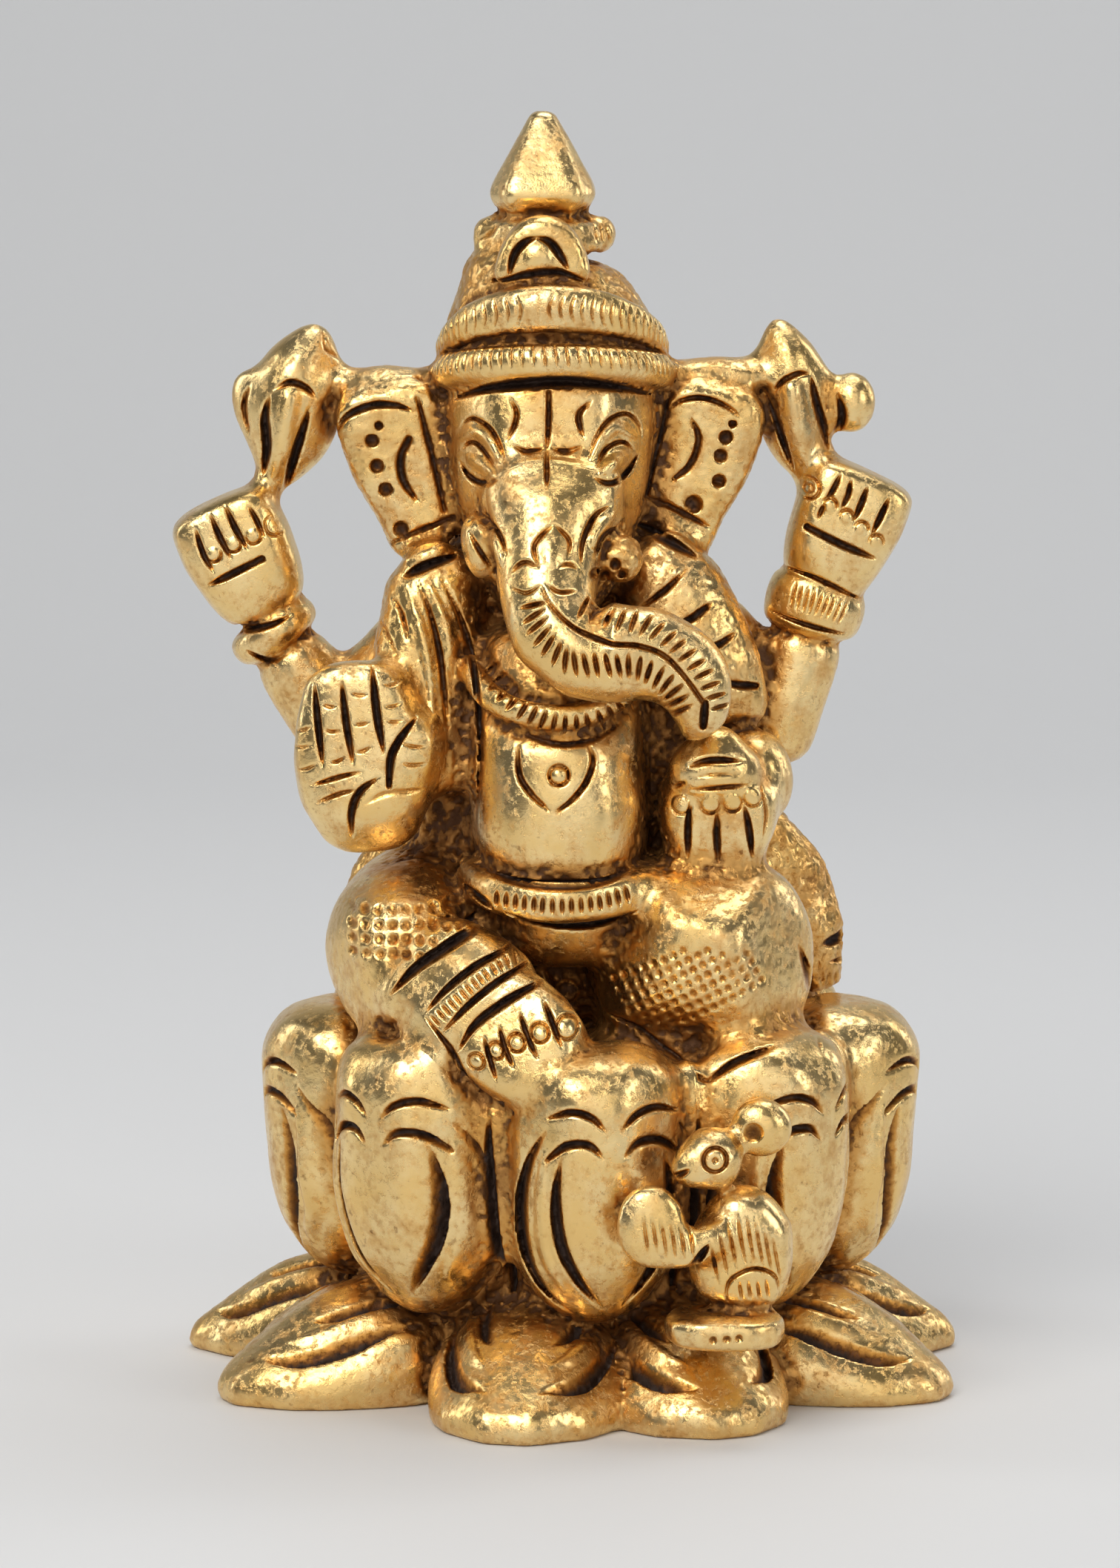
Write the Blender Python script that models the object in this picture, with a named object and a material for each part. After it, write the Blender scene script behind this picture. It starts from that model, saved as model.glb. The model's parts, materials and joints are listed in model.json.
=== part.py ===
"""A small brass Ganesha seated on a double lotus, with a mouse at its feet.

The sculpture is one casting. Here each form that the chaser cut out of it is an object of its own, and GAP
lies where two of them meet. The frame stands on the table: +Z is up, the idol faces -Y, and +X is its left
hand, so +X lies to the right of someone who looks at it. Lengths inside the functions are millimetres.
"""

import math

import bmesh
import bpy
from mathutils import Matrix, Vector
from mathutils.bvhtree import BVHTree

MM = 0.001
GAP = 0.3  # clearance between two neighbouring forms
GAP_AT_CORNERS = 1.2  # corner points move out this much further, so that faces keep GAP

SEAT_Z = 21.4  # top of the pedestal
CORE_RADIUS = 13.5  # pedestal behind the upper petals
TIP_Z = 76.0  # top of the finial
FIGURE_X = -1.6  # the figure sits a little to its right of the pedestal's axis
HEAD_X = -1.9
CROWN_X = -2.1
SHOULDER_Z = 45.5

# The lotus: azimuths in degrees from the front, positive towards the idol's left, as spaced by hand.
UPPER_PETALS = (  # azimuth, half angle, how far it stands out beyond the usual petal
    (2, 20.2, 0.0),
    (45, 21.0, 0.0),
    (87, 20.3, 0.3),
    (132, 21.3, 0.0),
    (178, 21.3, 0.0),
    (-134, 21.3, 0.0),
    (-86, 20.8, -0.5),
    (-40, 21.0, 0.0),
)
LOWER_PETALS = (  # azimuth, reach from the axis, half width, bluntness of the tip
    (-12, 22.3, 6.2, 3.4),
    (24, 22.0, 6.0, 3.4),
    (65, 24.1, 6.3, 2.0),
    (101, 23.4, 5.2, 1.8),
    (141, 23.0, 5.4, 2.2),
    (180, 22.6, 5.4, 2.2),
    (-141, 23.0, 5.4, 2.2),
    (-100, 24.7, 5.2, 1.8),
    (-63, 24.2, 6.7, 2.0),
)
LOWER_ROOT = 9.5
FLAT_ENOUGH = math.radians(2.5)  # faces that meet at less than this are joined after a cut
CAP_TURN = math.radians(50)  # where a domed end has its one ring, from the rim towards the pole

POLISHED = (0.80, 0.56, 0.22)
RUBBED = (0.68, 0.45, 0.16)
DARKENED = (0.42, 0.24, 0.07)

made = []  # every finished form with its clearance body, in the order made


def clear_scene():
    for old in list(bpy.data.objects):
        bpy.data.objects.remove(old, do_unlink=True)


def brass(name, colour, roughness):
    material = bpy.data.materials.new(f"{name}_brass")
    material.use_nodes = True
    shader = material.node_tree.nodes["Principled BSDF"]
    shader.inputs["Base Color"].default_value = (*colour, 1.0)
    shader.inputs["Metallic"].default_value = 1.0
    shader.inputs["Roughness"].default_value = roughness
    return material


# ---------------------------------------------------------------- solids, in millimetres


def superellipse(half_width, half_depth, sides, square):
    """Points round an ellipse; square above 2 makes it boxier."""
    points = []
    for i in range(sides):
        angle = 2 * math.pi * i / sides
        c, s = math.cos(angle), math.sin(angle)
        u = math.copysign(abs(c) ** (2 / square), c) * half_width
        v = math.copysign(abs(s) ** (2 / square), s) * half_depth
        points.append((u, v))
    return points


def skin(rings, start=None, end=None, closed=False):
    """A solid through rings of points. start and end are the poles past its ends; without one that end is flat."""
    bm = bmesh.new()
    loops = [[bm.verts.new(p) for p in ring] for ring in rings]
    pairs = list(zip(loops, loops[1:]))
    if closed:
        pairs.append((loops[-1], loops[0]))
    for low, high in pairs:
        for i in range(len(low)):
            j = (i + 1) % len(low)
            bm.faces.new((low[i], low[j], high[j], high[i]))
    if not closed:
        for loop, pole in ((loops[0], start), (loops[-1], end)):
            if pole is None:
                bm.faces.new(loop)
                continue
            tip = bm.verts.new(pole)
            for i in range(len(loop)):
                bm.faces.new((loop[i], loop[(i + 1) % len(loop)], tip))
    bmesh.ops.recalc_face_normals(bm, faces=bm.faces)
    bmesh.ops.triangulate(bm, faces=bm.faces)
    return bm


def sweep(path, side=(1, 0, 0), sides=10, square=2.0, domes=(0.7, 0.7)):
    """A rounded limb through path, a list of (x, y, z, half_width, half_depth). half_width runs along side.
    domes are the heights of the two end caps, as parts of the end's radius; 0 leaves a flat end."""
    centres = [Vector(p[:3]) for p in path]
    last = len(path) - 1
    stations = []
    for i, (centre, station) in enumerate(zip(centres, path)):
        along = (centres[min(i + 1, last)] - centres[max(i - 1, 0)]).normalized()
        stations.append((centre, along, station[3], station[4]))
    poles = []
    for end, sign in ((0, -1), (last, 1)):
        centre, along, wide, deep = stations[end if sign < 0 else -1]
        height = domes[0 if sign < 0 else 1] * (wide + deep) / 2
        poles.append(centre + along * (sign * height) if height else None)
        if not height:
            continue
        rise = along * (sign * height * math.sin(CAP_TURN))
        cap = [(centre + rise, along, wide * math.cos(CAP_TURN), deep * math.cos(CAP_TURN))]
        stations = cap + stations if sign < 0 else stations + cap
    rings = []
    for centre, along, wide, deep in stations:
        u = (Vector(side) - along * Vector(side).dot(along)).normalized()
        v = along.cross(u)
        rings.append([centre + u * a + v * b for a, b in superellipse(wide, deep, sides, square)])
    return skin(rings, poles[0], poles[1])


def blob(centre, radii, turn=0.0, segments=10, rings=6):
    """An ellipsoid, turned by turn degrees about the line of sight."""
    bm = bmesh.new()
    bmesh.ops.create_uvsphere(bm, u_segments=segments, v_segments=rings, radius=1.0)
    place = Matrix.Translation(centre) @ Matrix.Rotation(math.radians(turn), 4, "Y")
    bm.transform(place @ Matrix.Diagonal((*radii, 1.0)))
    bmesh.ops.triangulate(bm, faces=bm.faces)
    return bm


def plate(outline, y_front, y_back, bevel=0.5):
    """A flat piece of outline (x, z) points, with its edges rounded over."""
    bm = bmesh.new()
    face = bm.faces.new([bm.verts.new((x, y_front, z)) for x, z in outline])
    moved = bmesh.ops.extrude_face_region(bm, geom=[face])["geom"]
    back = [v for v in moved if isinstance(v, bmesh.types.BMVert)]
    bmesh.ops.translate(bm, vec=(0, y_back - y_front, 0), verts=back)
    bmesh.ops.recalc_face_normals(bm, faces=bm.faces)
    bmesh.ops.bevel(bm, geom=bm.edges[:], offset=bevel, segments=1, profile=0.5, affect="EDGES")
    bmesh.ops.triangulate(bm, faces=bm.faces)
    return bm


def band(centre, half_width, half_depth, tube_out, tube_high, rise, swell, around=20, sides=6):
    """A closed ring of oval section round the head. Its front stands higher by rise and is taller by swell."""
    rings = []
    for i in range(around):
        a = 2 * math.pi * i / around
        out = Vector((math.cos(a), math.sin(a), 0))
        front = max(0.0, -math.sin(a))
        middle = Vector((math.cos(a) * half_width, math.sin(a) * half_depth, rise * front))
        section = superellipse(tube_out, tube_high + swell * front, sides, 2.0)
        rings.append([Vector(centre) + middle + out * u + Vector((0, 0, v)) for u, v in section])
    return skin(rings, closed=True)


def arc_path(centre, half_width, half_depth, first, final, count, thick, high, drop=0.0):
    """Stations of a sweep round the front of a body, from azimuth first to final. Its middle hangs by drop."""
    path = []
    for i in range(count):
        azimuth = math.radians(first + (final - first) * i / (count - 1))
        x = centre[0] + half_width * math.sin(azimuth)
        y = centre[1] - half_depth * math.cos(azimuth)
        z = centre[2] - drop * math.cos(azimuth)
        path.append((x, y, z, high, thick))
    return path


# ---------------------------------------------------------------- finishing a form


def new_object(name, bm):
    mesh = bpy.data.meshes.new(name)
    bm.to_mesh(mesh)
    obj = bpy.data.objects.new(name, mesh)
    bpy.context.scene.collection.objects.link(obj)
    return obj


def helper(name, bm):
    obj = new_object(name, bm)
    obj.hide_render = True
    obj.display_type = "WIRE"
    return obj


def apply_booleans(obj, operation, others):
    for other in others:
        cut = obj.modifiers.new(f"{operation.lower()}_{other.name}", "BOOLEAN")
        cut.operation = operation
        cut.solver = "EXACT"
        cut.object = other
    graph = bpy.context.evaluated_depsgraph_get()
    mesh = bpy.data.meshes.new_from_object(obj.evaluated_get(graph))
    obj.modifiers.clear()
    obj.data = mesh


def inflated(mesh):
    """The mesh grown by GAP, which is the room that its neighbours leave."""
    bm = bmesh.new()
    bm.from_mesh(mesh)
    bm.normal_update()
    moves = [v.normal * (GAP * GAP_AT_CORNERS * MM) for v in bm.verts]
    for v, move in zip(bm.verts, moves):
        v.co += move
    return bm


def keep_largest_body(mesh):
    """Drops the offcuts that a cut leaves behind."""
    bm = bmesh.new()
    bm.from_mesh(mesh)
    bodies, seen = [], set()
    for vert in bm.verts:
        if vert in seen:
            continue
        body, stack = [], [vert]
        seen.add(vert)
        while stack:
            here = stack.pop()
            body.append(here)
            for edge in here.link_edges:
                there = edge.other_vert(here)
                if there not in seen:
                    seen.add(there)
                    stack.append(there)
        bodies.append(body)
    bodies.sort(key=len)
    for body in bodies[:-1]:
        bmesh.ops.delete(bm, geom=body, context="VERTS")
    bmesh.ops.dissolve_limit(bm, angle_limit=FLAT_ENOUGH, verts=bm.verts, edges=bm.edges)
    bmesh.ops.triangulate(bm, faces=bm.faces)
    bm.to_mesh(mesh)
    bm.free()


def form(name, *shapes, colour=POLISHED, roughness=0.25):
    """Joins shapes into one solid, cuts it back from every earlier form that it would touch, and finishes it."""
    for bm in shapes:
        bm.transform(Matrix.Scale(MM, 4))
    obj = new_object(name, shapes[0])
    if len(shapes) > 1:
        apply_booleans(obj, "UNION", [helper(f"{name}_add_{i}", bm) for i, bm in enumerate(shapes[1:])])
    room = inflated(obj.data)
    body = bmesh.new()
    body.from_mesh(obj.data)
    tree = BVHTree.FromBMesh(body)
    near = [other for other, other_tree in made if tree.overlap(other_tree)]
    if near:
        apply_booleans(obj, "DIFFERENCE", near)
    keep_largest_body(obj.data)
    made.append((helper(f"{name}_clearance", room), BVHTree.FromBMesh(room)))
    obj.data.materials.clear()
    obj.data.materials.append(brass(name, colour, roughness))
    obj.data.shade_smooth()
    obj.data.set_sharp_from_angle(angle=math.radians(42))
    return obj


# ---------------------------------------------------------------- pedestal


def pedestal_core():
    """The turned middle of the lotus. Its flat underside is what the idol rests on."""
    profile = ((11.2, 0.0), (12.0, 1.5), (12.4, 4.5), (12.9, 7.5), (CORE_RADIUS, 14.0), (13.6, 18.0))
    profile += ((13.2, SEAT_Z - 0.8), (12.4, SEAT_Z))
    rings = [[(r * x, r * y, z) for x, y in superellipse(1, 1, 32, 2.0)] for r, z in profile]
    form("pedestal_core", skin(rings), colour=DARKENED, roughness=0.5)


def turned_out(azimuth, along, across, z):
    """The point along mm out from the axis at azimuth degrees, and across mm to the side of that ray."""
    a = math.radians(azimuth)
    return (along * math.sin(a) + across * math.cos(a), across * math.sin(a) - along * math.cos(a), z)


def lower_petal(number, azimuth, reach, half_width, blunt):
    """A thick leaf lying on the table, its back rounded and its edge upright."""
    stations = 7
    rings = []
    for i in range(stations):
        s = 0.985 * i / (stations - 1)
        along = LOWER_ROOT + (reach - LOWER_ROOT) * s
        wide = half_width * math.sqrt(1 - s**blunt) * (0.72 + 0.28 * min(1.0, s / 0.35))
        side = 4.3 - 1.5 * s**2
        crest = side + 3.2 * (1 - s) ** 0.8 + 0.25
        outline = [(-wide, 0.0), (-wide * 1.02, side * 0.55), (-wide * 0.94, side)]
        outline += [(-wide * 0.5, side + (crest - side) * 0.72), (0.0, crest)]
        outline += [(-a, z) for a, z in outline[3::-1]]
        rings.append([turned_out(azimuth, along, across, z) for across, z in outline])
    form(f"lower_petal_{number}", skin(rings), colour=RUBBED, roughness=0.35)


def upper_petal(number, azimuth, half_angle, stand_out):
    """A cupped petal of the upper ring: a blunt foot, a belly, and a lip that hangs over at the top."""
    profile = (  # height, part of the half angle, outer radius
        (5.6, 0.20, 15.4),
        (7.0, 0.60, 17.3),
        (9.2, 0.86, 18.8),
        (12.0, 0.97, 19.6),
        (15.4, 1.00, 20.0),
        (18.3, 1.00, 20.4),
        (20.3, 0.95, 20.6),
        (21.7, 0.80, 19.4),
        (22.5, 0.55, 17.2),
    )
    inner = CORE_RADIUS + 0.45
    rings = []
    for z, spread, usual in profile:
        half, outer = half_angle * spread, usual + stand_out
        side = inner + 0.25 * (outer - inner)
        ring = []
        for step in (-3, -2, -1, 0, 1, 2, 3):
            part = step / 3
            radius = outer - (outer - side) * abs(part) ** 2.4
            ring.append(turned_out(azimuth + half * part, radius, 0, z))
        for part in (0.9, 0.3, -0.3, -0.9):
            ring.append(turned_out(azimuth + half * part, inner, 0, z))
        rings.append(ring)
    form(f"upper_petal_{number}", skin(rings))


# ---------------------------------------------------------------- legs and body


def right_leg():
    thigh = [(-8.0, 2.5, 27.3, 4.6, 4.8), (-9.6, -2.0, 27.1, 5.4, 5.3), (-10.4, -6.5, 26.7, 5.2, 5.3)]
    thigh += [(-10.4, -10.0, 25.9, 4.7, 4.7), (-9.9, -12.2, 25.0, 3.6, 3.6)]
    shin = [(-9.0, -11.2, 26.1, 3.8, 2.8), (-7.2, -12.6, 24.9, 4.2, 3.0), (-5.5, -14.0, 23.8, 4.1, 3.0)]
    foot = [(-4.9, -14.4, 23.4, 3.7, 2.7), (-3.3, -15.7, 22.4, 3.6, 2.4), (-2.1, -16.7, 21.5, 3.2, 2.0)]
    across = (0.62, 0, 0.78)
    form("right_foot", sweep(foot, side=across, square=2.8, domes=(0.3, 0.4)))
    form("right_shin_anklets", sweep(shin, side=across, square=2.6, domes=(0.4, 0.15)))
    form("right_thigh", sweep(thigh, domes=(0.5, 0.6), sides=12))


def left_leg():
    """The folded leg: one broad rounded knee that comes to an edge at the bottom."""
    knee = [(6.9, -9.6, 20.8, 3.4, 4.2), (6.7, -8.6, 22.5, 5.6, 6.4), (6.9, -7.3, 25.0, 6.8, 8.0)]
    knee += [(7.3, -6.1, 28.0, 6.5, 7.7), (7.6, -5.0, 30.2, 5.2, 6.2), (7.8, -4.4, 31.4, 3.3, 4.2)]
    form("left_folded_leg", sweep(knee, sides=12, square=2.3, domes=(0.25, 0.2)))


def belly():
    sections = [(FIGURE_X, -5.5, 27.4, 4.8, 5.4), (FIGURE_X + 0.2, -6.3, 31.0, 5.3, 6.2)]
    sections += [(FIGURE_X + 0.2, -6.5, 35.0, 5.3, 6.7), (FIGURE_X, -6.0, 39.0, 5.2, 6.3)]
    sections += [(FIGURE_X, -5.4, 42.0, 5.1, 5.5), (FIGURE_X, -4.8, 45.0, 4.9, 4.4)]
    form("belly", sweep(sections, sides=12, square=2.2, domes=(0.2, 0.2)))


def torso():
    sections = [(-0.8, -0.6, 22.4, 10.5, 5.3), (-0.9, -0.6, 27.0, 10.2, 5.4), (-1.2, -0.6, 33.0, 9.8, 5.3)]
    sections += [(-1.4, -0.5, 39.0, 10.2, 5.2), (FIGURE_X, -0.3, 44.0, 10.4, 5.0)]
    sections += [(FIGURE_X - 0.2, 0.0, 48.0, 8.8, 4.8), (FIGURE_X - 0.2, 0.2, 51.0, 6.2, 4.4)]
    form("torso", sweep(sections, sides=12, square=2.4, domes=(0.1, 0.3)))


def waist_belt():
    path = arc_path((FIGURE_X + 0.25, -6.3, 31.3), 5.5, 6.9, -88, 88, 13, 0.75, 1.3, drop=0.8)
    form("waist_belt", sweep(path, side=(0, 0, 1), sides=8, square=2.6, domes=(0.6, 0.6)))


def necklace():
    path = arc_path((FIGURE_X - 0.1, -5.2, 44.4), 5.3, 6.6, -78, 74, 11, 0.7, 0.95, drop=3.2)
    form("necklace", sweep(path, side=(0, -0.3, 1), sides=8, domes=(0.6, 0.6)))


def shawl():
    """The stole over both shoulders, one fall on each side of the chest."""
    right = [(-8.1, -6.2, 36.8, 1.7, 1.9), (-8.8, -5.5, 39.7, 2.6, 2.6), (-9.4, -4.8, 44.0, 3.2, 2.9)]
    right += [(-8.9, -4.0, 47.5, 3.0, 2.8), (-8.0, -3.4, 49.3, 2.4, 2.4)]
    left = [(9.4, -4.2, 40.2, 1.9, 1.8), (7.8, -4.4, 42.6, 3.1, 2.6), (6.0, -4.4, 45.4, 3.7, 2.9)]
    left += [(4.8, -3.9, 48.2, 3.3, 2.8), (3.8, -3.4, 50.2, 2.2, 2.2)]
    form("shawl_right_fall", sweep(right, sides=10, square=2.4, domes=(0.5, 0.4)))
    form("shawl_left_fall", sweep(left, sides=10, square=2.4, domes=(0.5, 0.4)))


def bolster():
    """The round-topped back cushion of the seat, upright behind the figure."""
    sections = [(0.4, 5.9, 22.2, 15.6, 2.4), (0.4, 5.9, 26.0, 15.9, 2.7), (0.4, 6.0, 30.0, 14.5, 2.6)]
    sections += [(0.4, 6.1, 33.0, 12.0, 2.4), (0.4, 6.2, 35.4, 8.4, 1.9)]
    form("back_bolster", sweep(sections, sides=14, square=2.8, domes=(0.08, 0.15)), colour=RUBBED)


# ---------------------------------------------------------------- arms and hands


def right_front_hand():
    """The raised open hand, its palm to the front, with the elbow resting on the thigh."""
    palm = [(-12.6, -6.4, 33.9, 3.0, 2.9), (-12.9, -7.0, 36.2, 4.0, 3.2), (-13.1, -7.6, 38.6, 4.1, 2.8)]
    palm += [(-13.4, -7.8, 41.0, 3.6, 2.1), (-13.5, -7.8, 43.0, 3.0, 1.6)]
    thumb = blob((-9.8, -8.3, 38.8), (1.25, 1.4, 2.3), turn=8)
    form("right_front_hand", sweep(palm, sides=12, square=2.5, domes=(0.4, 0.45)), thumb)


def left_front_hand():
    hand = [(7.7, -7.0, 32.6, 2.9, 3.0), (7.8, -7.6, 34.4, 3.5, 3.6), (8.1, -7.4, 36.6, 3.6, 3.4)]
    wrist = blob((9.9, -5.8, 36.8), (2.6, 3.2, 3.1))
    form("left_front_hand", sweep(hand, sides=12, square=2.5, domes=(0.3, 0.3)), wrist)


def modak():
    """The sweet that the trunk's tip touches."""
    sections = [(7.7, -9.0, 37.3, 2.9, 2.4), (7.7, -9.2, 38.5, 2.7, 2.2), (7.7, -9.2, 39.5, 1.7, 1.5)]
    form("modak", sweep(sections, sides=12, domes=(0.35, 0.55)))


def rear_arm(side, shoulder, elbow, wrist):
    upper = [(*shoulder, 2.5, 2.6), (*[(a + b) / 2 for a, b in zip(shoulder, elbow)], 2.6, 2.7)]
    upper += [(*elbow, 2.5, 2.6)]
    fore = [(*elbow, 2.5, 2.6), (*[(a + b) / 2 for a, b in zip(elbow, wrist)], 2.45, 2.5)]
    fore += [(*wrist, 2.3, 2.4)]
    form(f"{side}_rear_arm", sweep(upper, domes=(0.4, 0.5)), sweep(fore, domes=(0.5, 0.05)))


def bangle(side, centre, lean, half_height, radius):
    lean = math.radians(lean)
    up = Vector((math.sin(lean), 0, math.cos(lean)))
    middle = Vector(centre)
    path = [(*(middle + up * (half_height * s)), radius * r, radius * r) for s, r in ((-1, 0.94), (0, 1), (1, 0.94))]
    form(f"{side}_bangle", sweep(path, sides=12, domes=(0.06, 0.06)))


def rear_fist(side, wrist, lean):
    """A closed hand, leaning outwards by lean degrees, around the foot of what it holds."""
    lean = math.radians(lean)
    up = Vector((math.sin(lean), -0.06, math.cos(lean)))
    across = (math.cos(lean), 0, -math.sin(lean))
    path = []
    for rise, wide, deep in ((0.6, 2.5, 2.4), (2.2, 3.0, 2.8), (4.8, 3.35, 3.0), (7.2, 3.1, 2.7)):
        path.append((*(Vector(wrist) + up * rise), wide, deep))
    form(f"{side}_rear_fist", sweep(path, side=across, sides=12, square=3.0, domes=(0.15, 0.3)))


def attributes():
    """What the rear hands hold: an axe head in the right one, a goad with its knob in the left one."""
    axe = [(-18.3, -0.2, 54.3, 1.3, 1.4), (-17.9, -0.2, 56.0, 2.5, 2.4), (-17.3, -0.2, 58.6, 3.2, 2.9)]
    axe += [(-16.6, -0.2, 61.0, 2.5, 2.4), (-16.0, -0.2, 62.7, 1.2, 1.3)]
    spur = blob((-20.0, -0.2, 58.6), (1.3, 1.5, 2.3), turn=-12)
    goad = [(12.9, -0.2, 55.0, 1.2, 1.3), (12.8, -0.2, 57.0, 2.3, 2.4), (12.5, -0.2, 59.6, 2.6, 2.7)]
    goad += [(11.9, -0.2, 62.0, 1.7, 1.9), (11.5, -0.2, 63.6, 0.7, 0.8)]
    form("right_axe_head", sweep(axe, domes=(0.6, 0.7)), spur)
    form("left_goad_head", sweep(goad, domes=(0.6, 0.8)))
    form("left_goad_knob", blob((16.0, -0.2, 58.7), (1.5, 1.6, 1.9)))


def webs():
    """The bars left in the casting between the crown and what the rear hands hold."""
    right = [(-15.0, -0.6, 59.4, 1.7, 1.1), (-12.0, -0.8, 60.0, 1.7, 1.0), (-8.6, -1.0, 59.7, 1.7, 1.1)]
    left = [(5.0, -1.0, 60.2, 1.7, 1.0), (7.8, -0.8, 60.5, 1.7, 0.9), (11.0, -0.6, 60.2, 1.7, 1.0)]
    form("right_web", sweep(right, side=(0, 1, 0), sides=10, domes=(0.3, 0.3)), colour=RUBBED)
    form("left_web", sweep(left, side=(0, 1, 0), sides=10, domes=(0.3, 0.3)), colour=RUBBED)


# ---------------------------------------------------------------- head and crown


def trunk():
    """Down from the brow, then out to the idol's left, with its tip on the modak. half_width runs to the front."""
    path = [(-1.9, -9.2, 53.6, 2.4, 3.4), (-2.1, -10.4, 50.8, 2.5, 3.0), (-2.2, -11.6, 48.4, 2.6, 2.8)]
    path += [(-1.7, -12.6, 46.3, 2.6, 2.7), (-0.2, -13.3, 44.9, 2.5, 2.5), (1.9, -13.4, 44.6, 2.3, 2.3)]
    path += [(4.0, -13.1, 44.6, 2.1, 2.1), (5.9, -12.6, 43.6, 2.0, 2.0), (7.2, -11.9, 41.9, 1.9, 1.8)]
    form("trunk", sweep(path, side=(0, -1, 0), sides=12, domes=(0.5, 0.25)))


def head():
    sections = [(HEAD_X, -2.6, 47.6, 3.6, 6.2), (HEAD_X, -2.8, 49.5, 4.5, 7.2), (HEAD_X, -2.8, 51.8, 5.3, 7.9)]
    sections += [(HEAD_X, -2.6, 54.4, 6.0, 8.0), (HEAD_X, -2.2, 57.2, 6.4, 7.7), (HEAD_X, -2.0, 60.0, 6.7, 7.2)]
    sections += [(HEAD_X, -1.9, 62.0, 6.2, 6.7)]
    form("head", sweep(sections, sides=14, square=2.2, domes=(0.2, 0)))


def tusks():
    form("right_tusk", blob((-6.1, -8.0, 50.9), (1.1, 2.2, 2.1), turn=-12))
    form("left_broken_tusk", blob((2.1, -9.0, 50.3), (1.4, 1.9, 1.5), turn=20))


def ears():
    """Broad plates beside the face, narrow at the lobe."""
    outline = ((-12.8, 59.3), (-13.1, 57.4), (-11.9, 54.2), (-10.3, 51.6), (-9.6, 49.6), (-5.4, 51.2))
    outline += ((-5.0, 59.9), (-9.0, 60.2))
    for side, middle, sign in (("right", HEAD_X + 0.2, 1), ("left", HEAD_X - 0.4, -1)):
        points = [(middle + sign * x, z) for x, z in outline]
        form(f"{side}_ear", plate(points, -3.4, -0.6))


def faceted_ring(x, y, z, half):
    """A ring for the finial: wide flats at the front and back, narrow ones at the sides, and cut corners."""
    corners = [(0.68, -1), (1, -0.42), (1, 0.42), (0.68, 1), (-0.68, 1), (-1, 0.42), (-1, -0.42), (-0.68, -1)]
    return [(x + half * u, y + half * v, z) for u, v in corners]


def crown():
    lower = band((CROWN_X + 0.3, -1.8, 60.4), 6.5, 6.9, 0.95, 1.1, rise=1.5, swell=0.0)
    upper = band((CROWN_X + 0.2, -1.6, 62.1), 6.1, 6.2, 1.05, 0.85, rise=2.8, swell=0.75)
    form("crown_lower_band", lower)
    form("crown_upper_band", upper)
    arch = [(-2.8, 66.2), (-2.7, 67.4), (-2.3, 68.6), (-1.4, 69.7), (-0.5, 70.1), (0.5, 70.1), (1.4, 69.7)]
    arch += [(2.3, 68.6), (2.7, 67.4), (2.8, 66.2)]
    form("crown_crest", plate([(CROWN_X - 0.4 + x, z) for x, z in arch], -7.3, -4.6, bevel=0.4))
    collar = [(CROWN_X - 0.2, -1.0, 68.0, 3.7, 3.7), (CROWN_X - 0.2, -1.0, 69.5, 3.5, 3.5)]
    lugs = [blob((CROWN_X - 0.2 + x, -1.2, 68.8), (1.0, 1.3, 1.1), segments=8, rings=5) for x in (-3.3, 3.2)]
    form("crown_collar", sweep(collar, sides=12, domes=(0.05, 0.05)), *lugs)
    dome = [(CROWN_X, -1.2, 61.9, 6.9, 6.8), (CROWN_X - 0.1, -1.1, 63.4, 6.3, 6.2)]
    dome += [(CROWN_X - 0.2, -1.0, 65.5, 5.25, 5.1), (CROWN_X - 0.2, -1.0, 66.7, 4.75, 4.6)]
    dome += [(CROWN_X, -1.0, 67.6, 3.9, 3.8)]
    form("crown_dome", sweep(dome, sides=14, domes=(0, 0)))
    stations = ((70.3, 2.5), (71.1, 3.15), (71.8, 2.95), (75.1, 1.05), (TIP_Z, 0.6))
    form("crown_finial", skin([faceted_ring(CROWN_X - 0.35, -0.9, z, half) for z, half in stations]))


# ---------------------------------------------------------------- mouse


def mouse():
    """The mouse at the front of the lotus, seated on a small slab, with a sweet held out to the left."""
    body = [(8.9, -18.4, 8.5, 2.8, 2.3), (9.1, -18.6, 10.4, 3.1, 2.8), (9.2, -18.7, 12.5, 2.9, 2.6)]
    body += [(9.0, -18.9, 13.9, 1.9, 1.9)]
    head_path = [(8.1, -19.3, 16.5, 1.75, 1.8), (7.1, -19.7, 16.6, 1.85, 1.9), (5.8, -20.3, 16.0, 1.15, 1.15)]
    arm = [(7.6, -20.4, 12.2, 1.1, 1.2), (6.0, -21.0, 11.4, 1.0, 1.1), (4.6, -21.2, 11.7, 1.3, 1.3)]
    form("mouse_sweet_and_arm", blob((3.8, -21.2, 12.9), (2.1, 1.6, 2.5)), sweep(arm, side=(0, 0, 1), sides=8))
    form("mouse_head", sweep(head_path, side=(0, 1, 0), sides=10, domes=(0.5, 0.7)))
    form("mouse_ear", blob((10.2, -18.6, 18.2), (1.9, 1.3, 1.8), turn=20))
    form("mouse_body", sweep(body, sides=10, domes=(0.25, 0.4)))
    slab = [(8.1, -19.6, 5.9, 3.4, 2.6), (8.1, -19.6, 7.2, 3.5, 2.7)]
    form("mouse_slab", sweep(slab, sides=10, square=3.0, domes=(0.1, 0.1)))


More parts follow.
